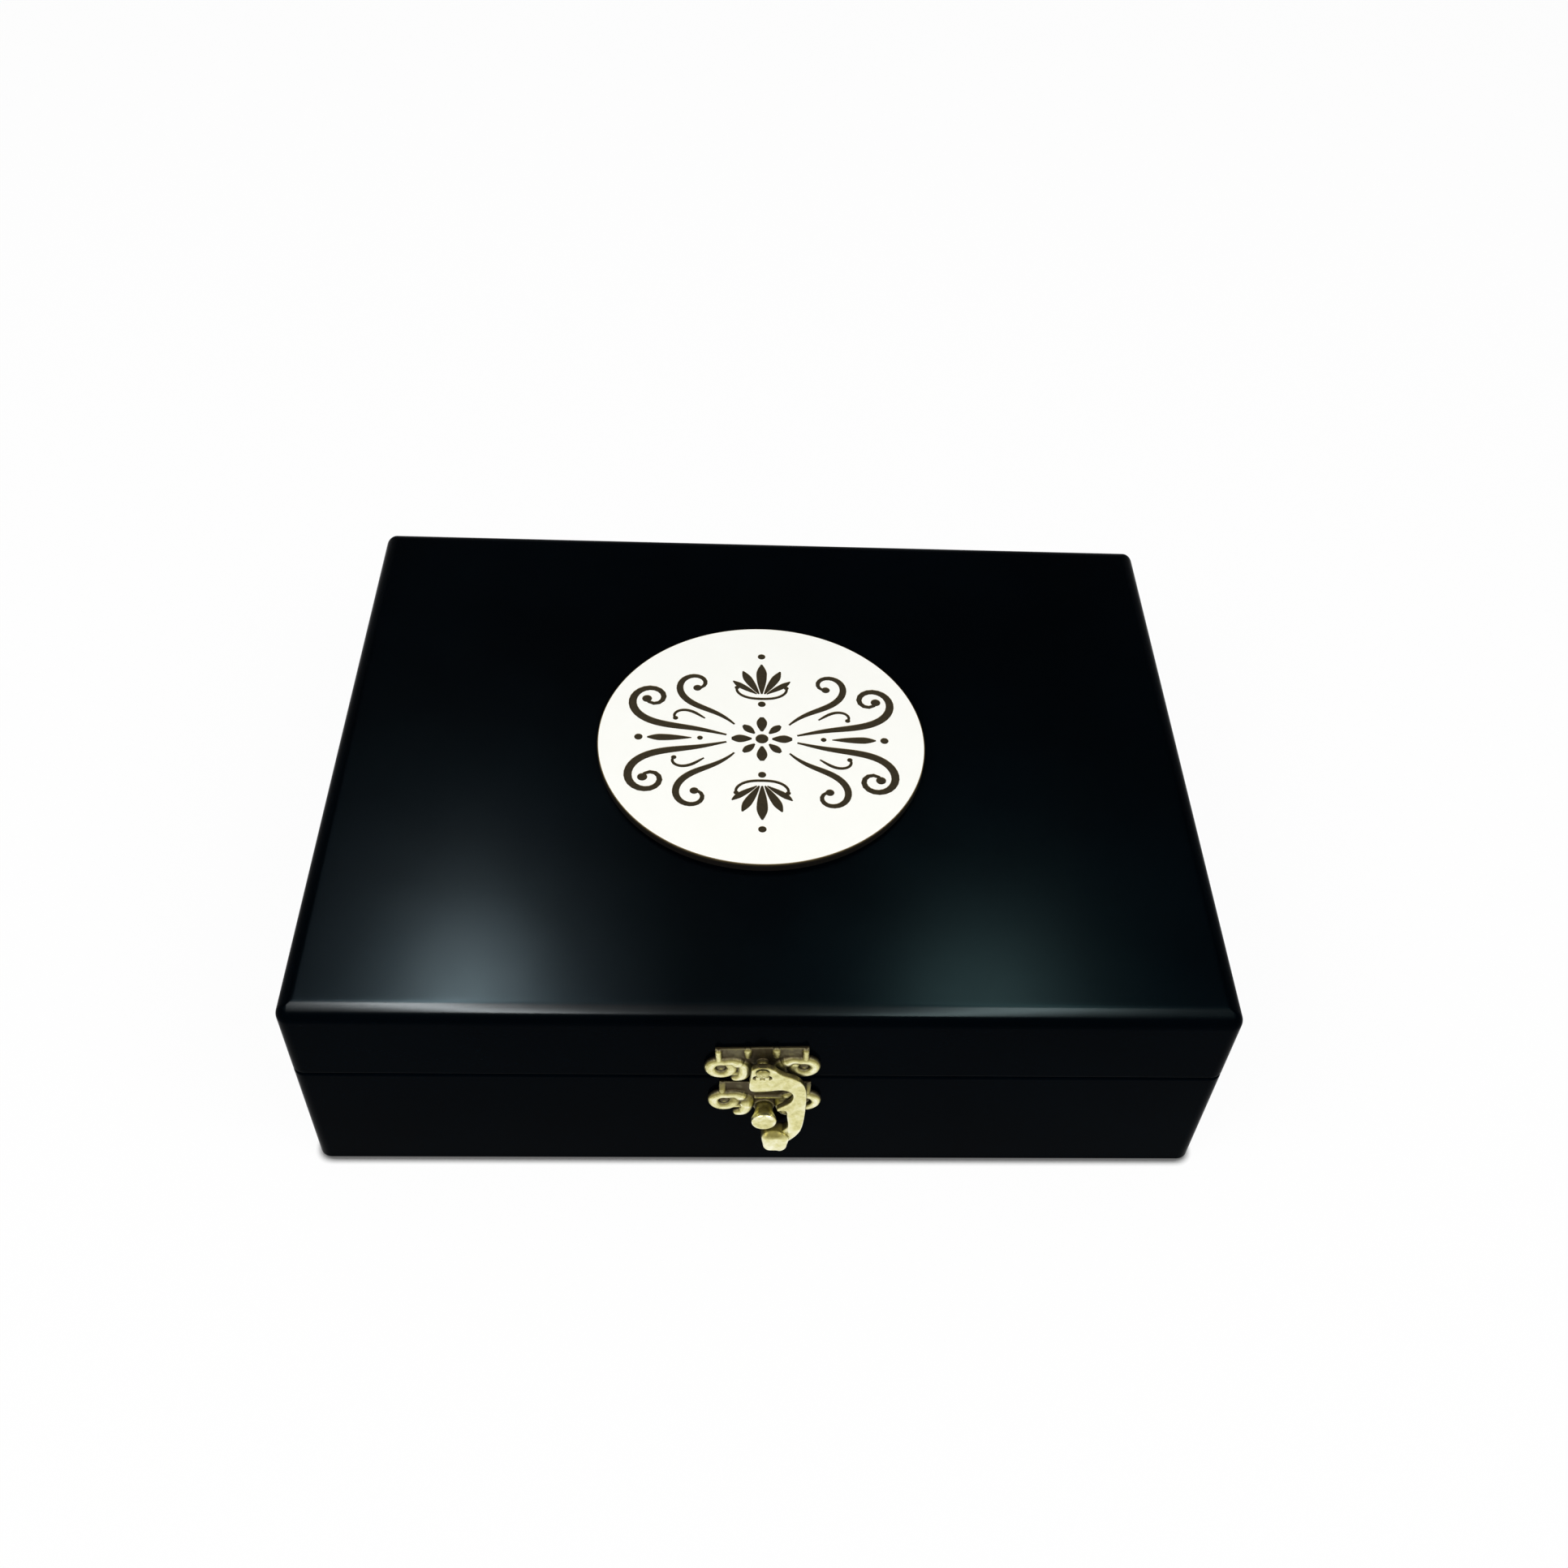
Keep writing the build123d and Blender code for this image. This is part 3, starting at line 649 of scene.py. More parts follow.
def keep_cutter(cutters, done, maker, surface, shape):
    """Add one cutter to the collection, unless its mirror image is already there."""
    middle = shape if isinstance(shape, tuple) else tuple(shape[len(shape) // 2])
    key = (maker.__name__, *(round(value + 0.0, 2) + 0.0 for value in middle))
    if key in done:
        return
    done.add(key)
    clay = bmesh.new()
    maker(clay, surface, shape)
    cutters.objects.link(shaped("cutter", clay))


# one quarter of the ornament, in millimetres from the disc's middle and in degrees from its +X
# a scroll: start, heading, length, turns, width, tips, swell, and the radius of the dot at its end
SCROLLS = [
    ((10.8, 1.5), 16, 58, (0, -1.0, 1.5, 6, 9.5, 15, 27), 2.5, (0.22, 0.42), 0.4, 1.45),
    ((8.4, 6.0), 52, 41, (-3, -2, 4, 9, 15, 28), 2.1, (0.22, 0.42), 0.42, 1.25),
    ((17.5, 8.4), 36, 13, (3, -6, -16, -36), 1.0, (0.4, 0.6), 0.4, 0.75),
    ((0, 17.4), 0, 10.5, (1, 6, 11, 26), 0.9, (1, 0.7), 0.3, 0.7),
]
DART = ((21.5, 0), 0, 13.5, (0, 0), 2.6, (0.1, 0.15), 0.7)
# a dot: x, y, radius
DOTS = [(37.6, 0, 1.2), (18.9, 0, 0.8), (0, 36.6, 1.15), (0, 15.0, 1.15), (0, 0, 1.9)]
# a leaf of the crest: lean from upright, length, width
CREST_LEAVES = ((0, 13.5, 3.2), (25, 11.5, 2.6), (50, 9.5, 2.0))
CREST_FOOT = (2.0, 19.5)
LEAF_BEND = (-0.05, 0.08)
LEAF_TIPS = (0.12, 0.1)
LEAF_SWELL = 0.66
# a petal of the rosette: heading, length, width
PETALS = ((0, 6.2, 3.1), (45, 5.0, 2.5), (90, 6.2, 3.1))
PETAL_FOOT = 3.1
PETAL_TIPS = (0.15, 0.3)
PETAL_SWELL = 0.6


def ornament():
    """Strokes and dots of one quarter of a scrolled medallion with a rosette and two crests."""
    strokes, dots = [], []
    for *shape, end in SCROLLS:
        points = stroke(*shape)
        strokes.append(points)
        dots.append((*points[-1][:2], end))
    strokes.append(stroke(*DART))
    dots += DOTS
    for lean, reach, width in CREST_LEAVES:
        foot = (CREST_FOOT[0] * math.sin(math.radians(lean)), CREST_FOOT[1])
        turns = [bend * lean for bend in LEAF_BEND]
        strokes.append(stroke(foot, 90 - lean, reach, turns, width, LEAF_TIPS, LEAF_SWELL))
    for angle, reach, width in PETALS:
        foot = (PETAL_FOOT * math.cos(math.radians(angle)), PETAL_FOOT * math.sin(math.radians(angle)))
        strokes.append(stroke(foot, angle, reach, (0, 0), width, PETAL_TIPS, PETAL_SWELL))
    return strokes, dots


def plaque_disc(coating, burnt):
    """Cream disc with a scorched rim and a scorched, engraved ornament that stands in all four quarters."""
    low, high = (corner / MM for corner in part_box("plaque"))
    centre_x, centre_y = (low.x + high.x) / 2, (low.y + high.y) / 2
    radius = (high.x - low.x) / 2
    disc = bmesh.new()
    profile = [(radius - RIM_EASE, low.z), (radius, low.z + RIM_EASE), (radius, high.z - RIM_EASE)]
    profile += [(radius - RIM_EASE_MIDDLE, high.z - RIM_EASE_MIDDLE), (radius - RIM_EASE, high.z)]
    turned(disc, Matrix.Translation((centre_x, centre_y, 0)), 0, 0, profile, DISC_TURNS)

    surface = Matrix.Translation((centre_x, centre_y, high.z))
    strokes, dots = ornament()
    cutters = bpy.data.collections.new("cutters")
    bpy.context.scene.collection.children.link(cutters)
    done = set()
    for side_x in (1, -1):
        for side_y in (1, -1):
            for points in strokes:
                mirrored = [(side_x * x, side_y * y, width) for x, y, width in points]
                keep_cutter(cutters, done, groove, surface, mirrored)
            for x, y, size in dots:
                keep_cutter(cutters, done, dot, surface, (side_x * x, side_y * y, size))
    carve = {"operation": "DIFFERENCE", "solver": "EXACT", "operand_type": "COLLECTION",
             "collection": cutters}
    mesh = applied("plaque_disc", disc, [("BOOLEAN", carve)])
    for cutter in list(cutters.objects):
        bpy.data.objects.remove(cutter)
    bpy.data.collections.remove(cutters)

    piece = finished("plaque_disc", mesh, [coating, burnt], "lid", "plaque")
    for face in mesh.polygons:
        out = math.hypot(face.center.x - centre_x * MM, face.center.y - centre_y * MM) / MM
        sunk = high.z - face.center.z / MM
        face.material_index = 1 if sunk > BURNT_BELOW or out > radius - BURNT_RIM else 0
        face.use_smooth = False
    return piece


# ---------------------------------------------------------------- lining

LINING_CELLS = (97, 73)
LINING_EDGE = 0.35
LINING_WAVE = 0.12
WAVE_ACROSS = 17
WAVE_ALONG = 19
WAVE_WARP = 23


def lining_sheet(nap):
    """Felt sheet laid on the floor, its upper side faintly uneven and its cut edges soft."""
    low, high = (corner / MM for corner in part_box("base_lining"))
    columns, rows = LINING_CELLS
    clay = bmesh.new()
    grids = []
    for top in (False, True):
        grid = []
        for j in range(rows):
            for i in range(columns):
                u, v = i / (columns - 1), j / (rows - 1)
                x = low.x + u * (high.x - low.x)
                y = low.y + v * (high.y - low.y)
                inward = min(x - low.x, high.x - x, y - low.y, high.y - y)
                wave = math.sin(x / WAVE_ACROSS + 2 * math.sin(y / WAVE_WARP)) * math.sin(y / WAVE_ALONG + 1)
                drop = LINING_EDGE if inward == 0 else LINING_WAVE * (1 - wave) / 2
                z = high.z - drop if top else low.z
                grid.append(clay.verts.new((x, y, z)))
        grids.append(grid)
    lower, upper = grids
    for j in range(rows - 1):
        for i in range(columns - 1):
            k = j * columns + i
            clay.faces.new((upper[k], upper[k + 1], upper[k + columns + 1], upper[k + columns]))
            clay.faces.new((lower[k], lower[k + columns], lower[k + columns + 1], lower[k + 1]))
    border = [(i, 0) for i in range(columns)] + [(columns - 1, j) for j in range(1, rows)]
    border += [(i, rows - 1) for i in range(columns - 2, -1, -1)]
    border += [(0, j) for j in range(rows - 2, 0, -1)]
    ring = [j * columns + i for i, j in border]
    for first, second in zip(ring, ring[1:] + ring[:1]):
        clay.faces.new((lower[first], lower[second], upper[second], upper[first]))
    mesh = applied("lining_sheet", clay, [])
    mesh.shade_smooth()
    piece = finished("lining_sheet", mesh, [nap], "base", "base_lining")


# ---------------------------------------------------------------- latch plates

NAIL_HEAD = 1.5
SHEET = 0.85
# a half plate's sizes, in millimetres: x from the plate's middle, y above its eyes, heights off the face
PAST_MIDDLE = -0.5
PANEL_HALF = 5.6
PANEL_Y = (-3.6, 8.3)
PANEL_TOP = 0.8
FLANGE_FROM = 3.3
FLANGE_PAST_EYE = 1.4
FLANGE_Y = (4.0, 8.6)
WEB_FROM = 4.0
WEB_Y = (-2.4, 4.6)
WEB_TOP = 0.7
EYE_DISC = [(4.45, LOWEST), (4.55, 0.5), (4.3, SHEET)]
VOLUTE_RADIUS = 3.02
VOLUTE_WIDTHS = (1.7, 1.7, 1.65, 1.6, 1.55, 1.6, 2.0)
VOLUTE_CRESTS = (2.15, 2.25, 2.2, 2.15, 2.2, 2.45)
LOBE_WIDTHS = (1.6, 2.0, 2.1, 1.8, 1.3)
LOBE_CRESTS = (2.3, 2.3, 2.2)
SPUR = [(6.8, -2.9), (8.4, -2.9), (9.6, -3.3)]
SPUR_WIDTHS = (1.0, 1.1, 0.9)
SPUR_CRESTS = (1.7, 1.75, 1.6)
END_POST_PAST_EYE = 0.5
END_POST_WIDTHS = (1.1, 1.0, 1.0)
END_POST_FOOT = 2.0
PANEL_POST = [(3.9, 4.9), (3.9, 6.4), (3.9, 7.8)]
PANEL_POST_WIDTHS = (0.9, 1.2, 1.2)
PANEL_POST_LOWER = (0.4, 0.2)
RIDGE_LINE = [(-2.6, 1.5), (1.2, 1.5), (5.0, 1.5)]
RIDGE_WIDTHS = (0.5, 0.6, 0.5)
RIDGE_BASE = 0.6
PLATE_PASSES = 8
# each plate's heights of flange, posts and web, how much lower its lobes hang, and its ridge's height
UPPER_SHAPE = {"flange": 1.0, "post": 2.0, "web": 2.15, "drop": 0}
KEEPER_SHAPE = {"flange": 0.8, "post": 1.25, "web": 1.5, "drop": 1.2}
UPPER_RIDGE = 0.9
KEEPER_RIDGE = 1.6
RIVET_SEAT = ("latch_hook_rivet", [(1.5, LOWEST), (1.5, 2.35), (1.3, 2.55)])
STUD_SEAT = ("latch_keeper_stud", [(3.1, LOWEST), (3.1, 0.9), (2.9, 1.2)])


def on_front(x, z, tilt=0.0):
    """Matrix to the frame from x right, y up and height off the front face, in mm round a place on it."""
    c, s = math.cos(tilt), math.sin(tilt)
    return Matrix(((c, -s, 0, x), (0, 0, -1, FRONT), (s, c, 0, z), (0, 0, 0, 1)))


def middle(node):
    """x and z of a node's middle, in millimetres."""
    low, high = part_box(node)
    return (low.x + high.x) / 2 / MM, (low.z + high.z) / 2 / MM


def plate_place(nails):
    """Place and tilt of a latch plate, and how far each eye is from its middle, from the nails in them."""
    low, high = (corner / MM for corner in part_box(nails))
    wide, tall = high.x - low.x - 2 * NAIL_HEAD, high.z - low.z - 2 * NAIL_HEAD
    return on_front(*middle(nails), math.atan2(tall, wide)), math.hypot(wide, tall) / 2


def half_plate(clay, place, eye, flange, post, web, drop):
    """One half of a latch plate: the eye's volute, the lobe below it and the framed flange above it."""
    turned(clay, place, eye, 0, EYE_DISC)
    bar(clay, place, (FLANGE_FROM, eye + FLANGE_PAST_EYE), FLANGE_Y, flange)
    bar(clay, place, (PAST_MIDDLE, WEB_FROM), FLANGE_Y, SHEET)
    bar(clay, place, (PAST_MIDDLE, PANEL_HALF), PANEL_Y, PANEL_TOP)
    bar(clay, place, (WEB_FROM, eye), WEB_Y, WEB_TOP)
    # volute: round the eye from below, over the top and down into an inner curl
    curl = through([(eye - 1.3, 2.95), (eye - 3.0, 3.1), (eye - 4.6, 2.3)])
    volute = arc(eye, 0, VOLUTE_RADIUS, -210, 105) + curl
    bead(clay, place, volute, VOLUTE_WIDTHS, SHEET, (web, *VOLUTE_CRESTS))
    # lobe: from the inner curl down the centre panel's side, and out to a round tip under the volute
    lobe = through([(6.0, 1.8), (5.0, 0.3), (4.9, -2.2), (5.8, -4.2 - drop), (7.6, -5.0 - drop)])
    bead(clay, place, lobe, LOBE_WIDTHS, SHEET, (web, web, *LOBE_CRESTS))
    bead(clay, place, through(SPUR), SPUR_WIDTHS, PANEL_TOP, SPUR_CRESTS)
    # flange: an end post and a post beside the centre panel
    end_post = [(eye + END_POST_PAST_EYE, y) for y in (2.6, 5.5, 7.6)]
    bead(clay, place, end_post, END_POST_WIDTHS, PANEL_TOP, (END_POST_FOOT, post))
    bead(clay, place, PANEL_POST, PANEL_POST_WIDTHS, PANEL_TOP, [post - lower for lower in PANEL_POST_LOWER])


def latch_plate(which, body, shape, ridge, seat, coat):
    """Upper or keeper plate: its halves' shape, the height of the ridge across it, and a turned seat.

    The seat is the node that sits on it and a profile of (radius, height) points.
    """
    name = which + "_plate"
    place, eye = plate_place("latch_" + which + "_nails")
    clay = bmesh.new()
    for side in (1, -1):
        half_plate(clay, place @ Matrix.Diagonal((side, 1, 1, 1)), eye, **shape)
    bead(clay, place, RIDGE_LINE, RIDGE_WIDTHS, RIDGE_BASE, (ridge, ridge))
    seated, profile = seat
    turned(clay, on_front(*middle(seated)), 0, 0, profile)
    finished(name, cast(name, clay, PLATE_PASSES), [coat], body, "latch_" + name)


# ---------------------------------------------------------------- hook, rivet and stud

HOOK_PASSES = 40
# sizes of the hook: x and y from its rivet or from the stud, heights off the face
HEAD_TOP = 2.15
HEAD_SQUASH_FROM = 0.4
HEAD_RADIUS = 3.1
HOOK_BACK = 2.7
ARM_FACE = 4.6
ARM_RISE = 1.6
RISE_BELOW_LIP = (-4.0, 3.5)
RISE_FROM_STUD = (3.8, 5.6)
THUMB_FACE = 7.6
THUMB_FROM_STUD = 3.4
LIP_BELOW_STUD = 2.9
SCOOP_DEPTH = 3.0
SCOOP_ABOVE_LIP = 0.6
SCOOP_FADE = (0.6, 5.2)
SCOOP_MIDDLE = -0.5
SCOOP_HALF = 4.4
THUMB_LENGTH = 8.8
THUMB_TAPER = 0.17
ARCH_PLACE = (1.25, -3.05)
ARCH_RADIUS = 1.0
ARCH_FOOT = -0.3
# width and depth of the arches' groove
ARCH_GROOVE = (0.36, 0.75)
ARCH_OFF_BACK = 1.0

RIVET_RADIUS = 1.85
RIVET_RISE = 0.9
RIVET_SHANK = 1.4
RIVET_FOOT = 0.2
RIVET_SINK = 0.02
RIVET_UNDERCUT = 0.15
DOME_SWEEP = 1.5
DOME_STEPS = 12

STUD_FOOT = 0.4
STUD_HEAD = 1.9
STUD_RADIUS = 3.55
STUD_NECK = 2.5
STUD_EASE = 0.7
EASE_STEPS = 8
# the flare: how much wider than the neck, and how far under the head
STUD_FLARE = [(0, 2.2), (0.2, 1.5), (0.5, 0.7), (0.85, 0)]
# the head's lower rim: how far inside its radius, and how far up its side
STUD_RIM = [(0.05, 0.3), (0, 0.6)]
# the dish in its face: radius and depth
STUD_DISH = [(2.4, 0.03), (1.6, 0.12), (0.6, 0.16)]
LATHE_TURNS = 64


def ease_in(value, start, end):
    """Smooth step from 0 at the start to 1 at the end."""
    t = np.clip((value - start) / (end - start), 0, 1)
    return t * t * (3 - 2 * t)


def sculpted(x, y, out):
    """The hook's points, x and y from its rivet and height off the face, moved to its finer shape."""
    stud_x, stud_y = (s - p for s, p in zip(middle("latch_keeper_stud"), middle("latch_hook_rivet")))
    # the head is lower than round
    squash = (HEAD_TOP - HEAD_SQUASH_FROM) / (HEAD_RADIUS - HEAD_SQUASH_FROM)
    y = np.where(y > HEAD_SQUASH_FROM, HEAD_SQUASH_FROM + (y - HEAD_SQUASH_FROM) * squash, y)
    # the arm's outer side rises to the thumb's face
    below_lip = stud_y - LIP_BELOW_STUD - y
    rise = ARM_RISE * ease_in(below_lip, *RISE_BELOW_LIP) * ease_in(x - stud_x, *RISE_FROM_STUD)
    face = ARM_FACE + rise
    risen = HOOK_BACK + (out - HOOK_BACK) * (face - HOOK_BACK) / (ARM_FACE - HOOK_BACK)
    above = face + (out - ARM_FACE) * (THUMB_FACE - face) / (THUMB_FACE - ARM_FACE)
    out = np.where(out < ARM_FACE, risen, above)
    # the thumb is scooped from its upper edge
    from_thumb = x - stud_x - THUMB_FROM_STUD
    across = np.clip(1 - ((from_thumb - SCOOP_MIDDLE) / SCOOP_HALF) ** 2, 0, 1)
    scoop = (1 - ease_in(below_lip, *SCOOP_FADE)) * across
    share = np.clip((out - ARM_FACE) / (THUMB_FACE - ARM_FACE), 0, 1)
    out = np.where(below_lip > -SCOOP_ABOVE_LIP, out - SCOOP_DEPTH * scoop * share, out)
    # the thumb narrows to its foot
    down = np.clip(below_lip / THUMB_LENGTH, 0, 1)
    x = x - from_thumb * THUMB_TAPER * down ** 3
    # two arches are pressed in under the rivet
    for side in (1, -1):
        from_x, from_y = x - side * ARCH_PLACE[0], y - ARCH_PLACE[1]
        away = np.abs(np.hypot(from_x, from_y) - ARCH_RADIUS) + np.clip(ARCH_FOOT - from_y, 0, None)
        pressed = ARCH_GROOVE[1] * np.exp(-(away / ARCH_GROOVE[0]) ** 2)
        out = np.where(out > HOOK_BACK + ARCH_OFF_BACK, out - pressed, out)
    return x, y, out


def hook(coat):
    """Swinging hook: low head, arm that swells out towards its foot, scooped thumb and two pressed arches."""
    clay = bmesh.new()
    clay.from_mesh(frame["nodes"]["latch_hook"].data)
    bmesh.ops.scale(clay, vec=(1 / MM, 1 / MM, 1 / MM), verts=clay.verts)
    mesh = cast("hook_casting", clay, HOOK_PASSES)
    pivot = on_front(*middle("latch_hook_rivet"))
    points = np.array([pivot.inverted() @ vertex.co for vertex in mesh.vertices])
    for vertex, place in zip(mesh.vertices, np.stack(sculpted(*points.T), 1)):
        vertex.co = pivot @ Vector(place)
    finished("hook_casting", mesh, [coat], "hook", "latch_hook")


def lathe_piece(name, node, body, coat, profile):
    """Turned piece at a node's place; its profile is (radius, height off the face) from back to front."""
    clay = bmesh.new()
    turned(clay, on_front(*middle(node)), 0, 0, profile, LATHE_TURNS)
    mesh = applied(name, clay, [])
    mesh.shade_smooth()
    finished(name, mesh, [coat], body, node)


def rivet(coat):
    """Domed rivet that the hook turns on."""
    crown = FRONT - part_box("latch_hook_rivet")[0].y / MM
    seat = crown - RIVET_RISE
    turns = np.linspace(0, DOME_SWEEP, DOME_STEPS)
    dome = [(RIVET_RADIUS * math.cos(a), seat + RIVET_RISE * math.sin(a)) for a in turns]
    under = seat - RIVET_SINK
    back = [(RIVET_SHANK, RIVET_FOOT), (RIVET_SHANK, under), (RIVET_RADIUS - RIVET_UNDERCUT, under)]
    lathe_piece("hook_rivet", "latch_hook_rivet", "lid", coat, back + dome)


def stud(coat):
    """Mushroom stud: a neck that flares into a drum head with rounded edges and a faint dish."""
    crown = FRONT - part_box("latch_keeper_stud")[0].y / MM
    under = crown - STUD_HEAD
    turns = np.linspace(0, math.pi / 2, EASE_STEPS)
    ring, low = STUD_RADIUS - STUD_EASE, crown - STUD_EASE
    back = [(STUD_NECK, STUD_FOOT)] + [(STUD_NECK + wider, under - depth) for wider, depth in STUD_FLARE]
    rim = [(STUD_RADIUS - inward, under + height) for inward, height in STUD_RIM]
    edge = [(ring + STUD_EASE * math.cos(a), low + STUD_EASE * math.sin(a)) for a in turns]
    dish = [(radius, crown - depth) for radius, depth in STUD_DISH]
    lathe_piece("keeper_stud", "latch_keeper_stud", "base", coat, back + rim + edge + dish)


# ---------------------------------------------------------------- studio, in metres

COVE_RADIUS = 3.0
COVE_BEND = 0.5
COVE_BEND_STEPS = 12
COVE_HEIGHT = 2.0
COVE_TURNS = 96
FLOOR_DROP = 0.0002
FLOOR_WHITE = 0.88
SEEN_WHITE = 0.95
FOOT_SHADE_REACH = 0.0024
WORLD_LEVEL = 0.35

SOFT_BOX_AZIMUTH = 128
SOFT_BOX_ELEVATION = 48
SOFT_BOX_DISTANCE = 1.7
SOFT_BOX_SIDE = 0.9
SOFT_BOX_POWERS = {"left": 14.0, "right": 12.2}

# where the gloss tubes over the object begin and end, (y, z)
TUBE_BACK = (1.035, 1.575)
TUBE_MIDDLE = (0.12, 1.575)
TUBE_FRONT = (-1.87, 1.575)
# the tubes over its back and over its front: x, width, radiance and colour
LEFT_TUBES = ((-0.36, 0.09, 850, (1.0, 0.96, 1.0)), (-0.395, 0.08, 3460, (1.0, 0.70, 0.67)))
RIGHT_TUBES = ((0.350, 0.17, 144, (0.76, 1.0, 0.97)), (0.36, 0.13, 660, (1.0, 0.87, 0.82)))


def white_paper():
    """White paper: it keeps a soft shadow and a painted contact shadow round the object's foot, and the
    camera and the gloss see it nearly white.
    """
    made = bpy.data.materials.new("white_paper")
    made.use_nodes = True
    tree = made.node_tree
    tree.nodes.clear()
    out = tree.nodes.new("ShaderNodeOutputMaterial")
    diffuse = tree.nodes.new("ShaderNodeBsdfDiffuse")
    glow = tree.nodes.new("ShaderNodeEmission")
    glow.inputs["Color"].default_value = (1, 1, 1, 1)
    path = tree.nodes.new("ShaderNodeLightPath")
    seen = maths(tree, "ADD", path.outputs["Is Camera Ray"], path.outputs["Is Glossy Ray"], clamp=True)
    seen = maths(tree, "ADD", seen, path.outputs["Is Transmission Ray"], clamp=True)
    # painted contact shadow: the paper's colour and glow darken where the object closes in its surroundings
    shade = span(tree, openness(tree, FOOT_SHADE_REACH), 0.15, 1, start=0.5, end=0.95)
    paper = blend_colours(tree, shade, (0, 0, 0, 1), (FLOOR_WHITE, FLOOR_WHITE, FLOOR_WHITE, 1))
    plug(tree, glow, "Strength", shade)
    plug(tree, diffuse, "Color", paper)
    mix = tree.nodes.new("ShaderNodeMixShader")
    plug(tree, mix, 0, maths(tree, "MULTIPLY", seen, SEEN_WHITE))
    plug(tree, mix, 1, diffuse.outputs[0])
    plug(tree, mix, 2, glow.outputs[0])
    plug(tree, out, "Surface", mix.outputs[0])
    return made


def cove():
    """Round paper cove: a flat floor that bends up into a wall all round."""
    turns = np.linspace(0, math.pi / 2, COVE_BEND_STEPS)
    flat = COVE_RADIUS - COVE_BEND
    profile = [(flat + COVE_BEND * math.sin(t), COVE_BEND * (1 - math.cos(t))) for t in turns]
    profile.append((COVE_RADIUS, COVE_HEIGHT))
    angles = [2 * math.pi * k / COVE_TURNS for k in range(COVE_TURNS)]
    made = bmesh.new()
    rings = []
    for radius, height in profile:
        z = height - FLOOR_DROP
        rings.append([made.verts.new((radius * math.cos(a), radius * math.sin(a), z)) for a in angles])
    made.faces.new(rings[0])
    for low_ring, high_ring in zip(rings, rings[1:]):
        for k in range(COVE_TURNS):
            following = (k + 1) % COVE_TURNS
            corners = (low_ring[following], low_ring[k], high_ring[k], high_ring[following])
            made.faces.new(corners).smooth = True
    mesh = bpy.data.meshes.new("cove")
    made.to_mesh(mesh)
    made.free()
    mesh.materials.append(white_paper())
    paper = bpy.data.objects.new("cove", mesh)
    bpy.context.scene.collection.objects.link(paper)


def world():
    """Dim grey surroundings above the cove."""
    made = bpy.data.worlds.new("studio")
    bpy.context.scene.world = made
    made.use_nodes = True
    back = made.node_tree.nodes["Background"]
    back.inputs["Color"].default_value = (1, 1, 1, 1)
    back.inputs["Strength"].default_value = WORLD_LEVEL


def lamp(name, width, length, power, colour=(1, 1, 1)):
    """Rectangular soft lamp, not placed yet."""
    data = bpy.data.lights.new(name, "AREA")
    data.shape = "RECTANGLE"
    data.size, data.size_y = width, length
    data.energy = power
    data.color = colour
    made = bpy.data.objects.new(name, data)
    made.visible_camera = False
    bpy.context.scene.collection.objects.link(made)
    return made


def soft_box(side, sign):
    """Square soft box in front of the object at one side, aimed at it; the sign is -1 at the left."""
    a, e = math.radians(sign * SOFT_BOX_AZIMUTH), math.radians(SOFT_BOX_ELEVATION)
    towards = Vector((math.sin(a) * math.cos(e), math.cos(a) * math.cos(e), math.sin(e)))
    made = lamp("soft_box_" + side, SOFT_BOX_SIDE, SOFT_BOX_SIDE, SOFT_BOX_POWERS[side])
    made.location = SOFT_BOX_DISTANCE * towards
    made.rotation_euler = (-made.location).to_track_quat("-Z", "Y").to_euler()


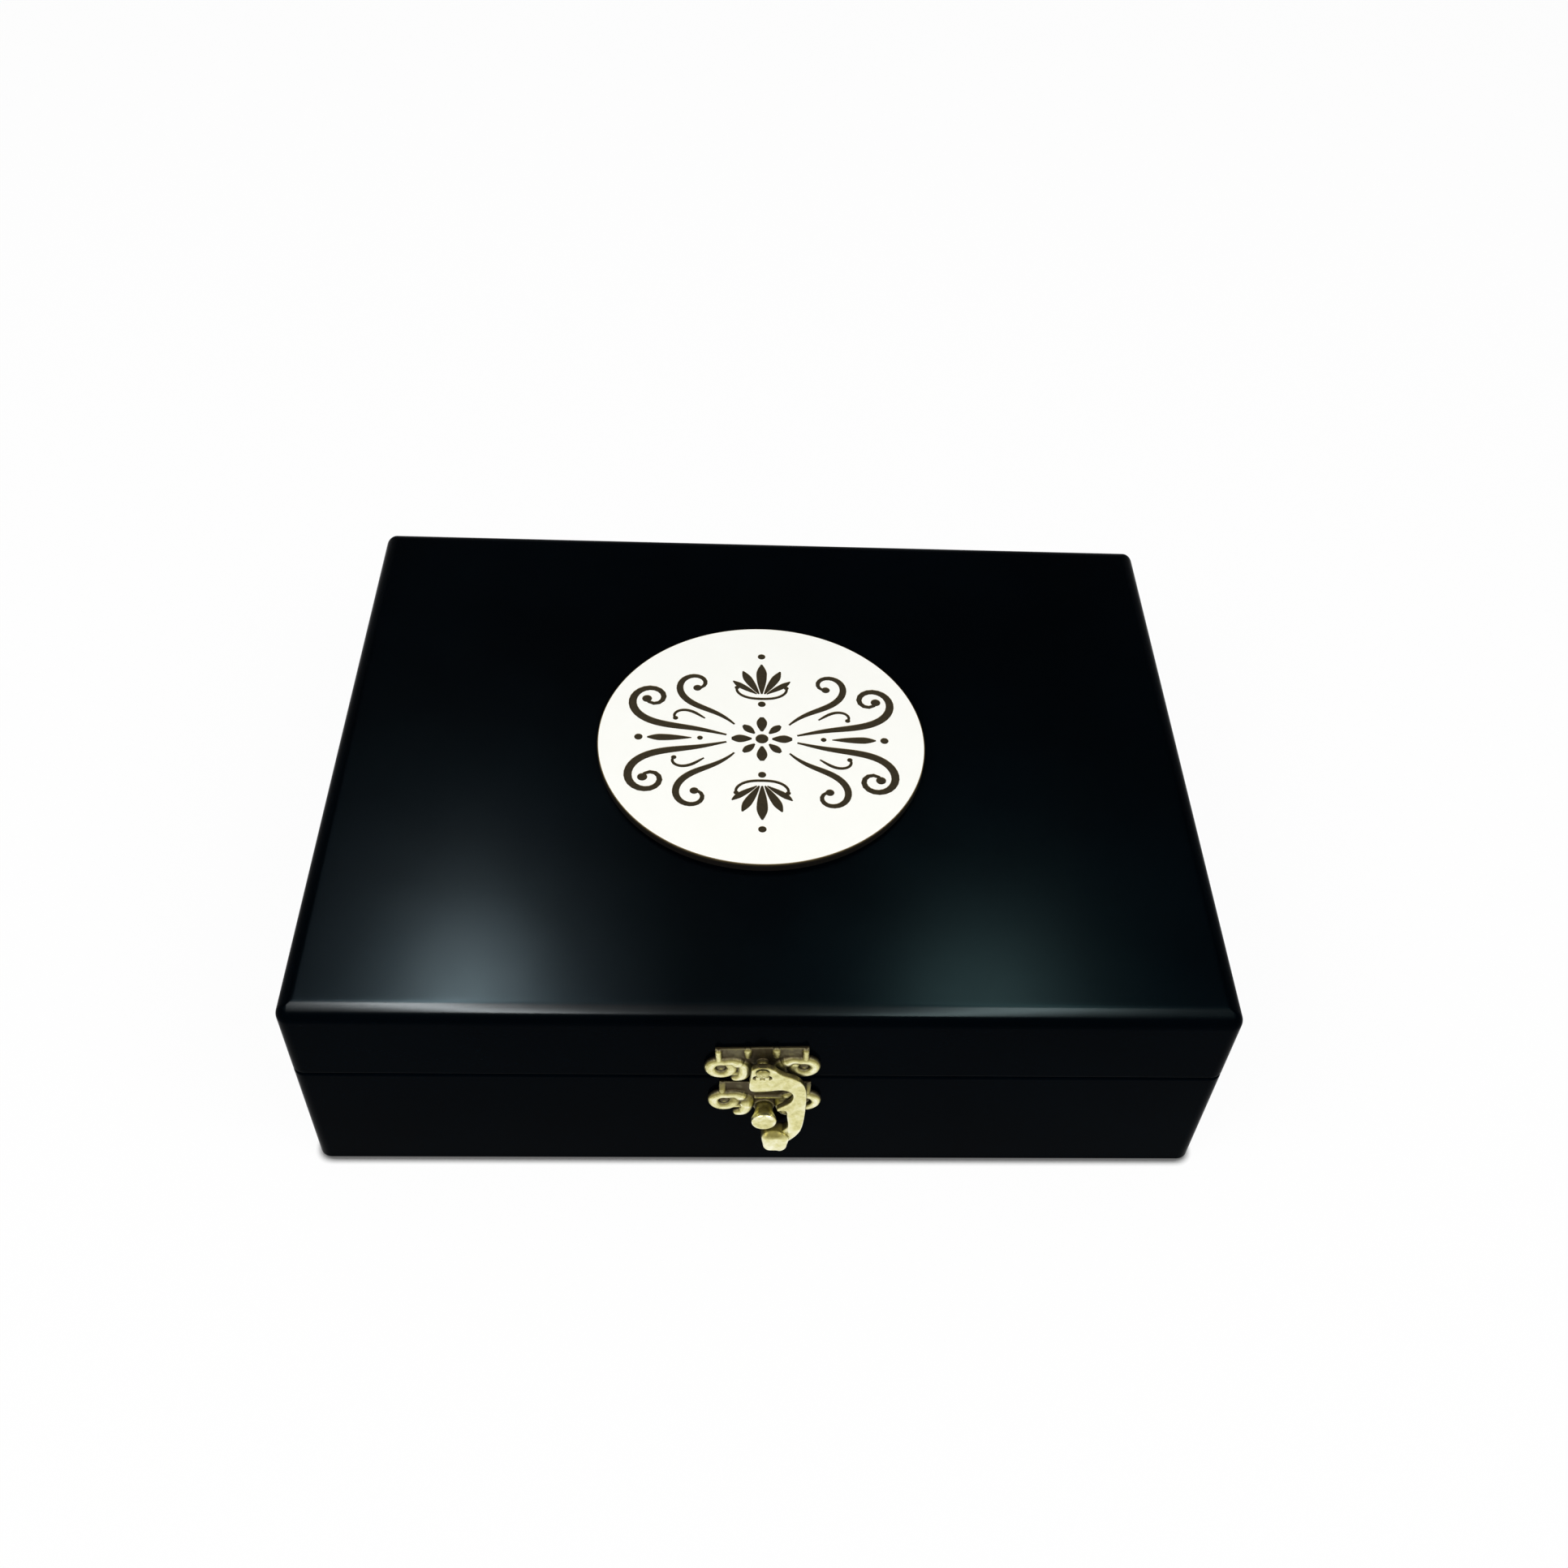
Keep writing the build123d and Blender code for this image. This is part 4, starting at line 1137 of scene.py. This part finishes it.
def gloss_tube(name, start, end, boards, x, width, radiance, colour):
    """Long tube from one (y, z) to another, at one x, that only these boards' gloss picks up."""
    (y0, z0), (y1, z1) = start, end
    length = math.hypot(y1 - y0, z1 - z0)
    made = lamp(name, width, length, radiance * math.pi * width * length, colour)
    made.location = (x, (y0 + y1) / 2, (z0 + z1) / 2)
    along = Vector((0, y1 - y0, z1 - z0)).normalized()
    across = Vector((1, 0, 0))
    facing = across.cross(along)
    if facing.dot(made.location) < 0:
        across, facing = -across, -facing
    made.rotation_euler = Matrix((across, along, facing)).transposed().to_euler()
    made.visible_diffuse = False
    receivers = bpy.data.collections.new(name + "_receivers")
    for board in boards:
        receivers.objects.link(board)
    made.light_linking.receiver_collection = receivers


def gloss_tubes(side, top, boards, back, front):
    """Two tubes over one side: the back one for every board, the front one for the top board's round edge."""
    gloss_tube("strip_back_" + side, TUBE_BACK, TUBE_MIDDLE, [top, *boards], *back)
    gloss_tube("strip_edge_" + side, TUBE_MIDDLE, TUBE_FRONT, [top], *front)


# ---------------------------------------------------------------- scene

camera()
world()
cove()
soft_box("left", -1)
soft_box("right", 1)
bpy.context.scene.view_settings.view_transform = "Standard"

coating = lacquer()
dress(BOARDS, coating)
top = lid_board(coating)
boards = [frame["nodes"][name] for name in BOARDS]
gloss_tubes("left", top, boards, *LEFT_TUBES)
gloss_tubes("right", top, boards, *RIGHT_TUBES)

dress(HINGE_PARTS, hinge_brass())
dress(SCREWS, screw_brass())
dress(PINS, steel())
# the nails' ground and proud heights leave their heads mostly in painted shade
dress(NAILS, latch_brass("nail_brass", 1.6, 4.6))
plaque_disc(cream(), scorch())
lining_sheet(felt())
# each latch piece's ground and proud heights, in mm off the face, set where its painted shade turns to
# painted highlight; the stud's wide span and full upward share leave it nearly even
plate_brass = latch_brass("plate_brass", 0.8, 2.25)
hook_brass = latch_brass("hook_brass", 2.9, 4.8)
latch_plate("upper", "lid", UPPER_SHAPE, UPPER_RIDGE, RIVET_SEAT, plate_brass)
latch_plate("keeper", "base", KEEPER_SHAPE, KEEPER_RIDGE, STUD_SEAT, plate_brass)
hook(hook_brass)
rivet(latch_brass("rivet_brass", 3.4, 6.6))
stud(latch_brass("stud_brass", -9.0, 9.5, upward_share=1.0))
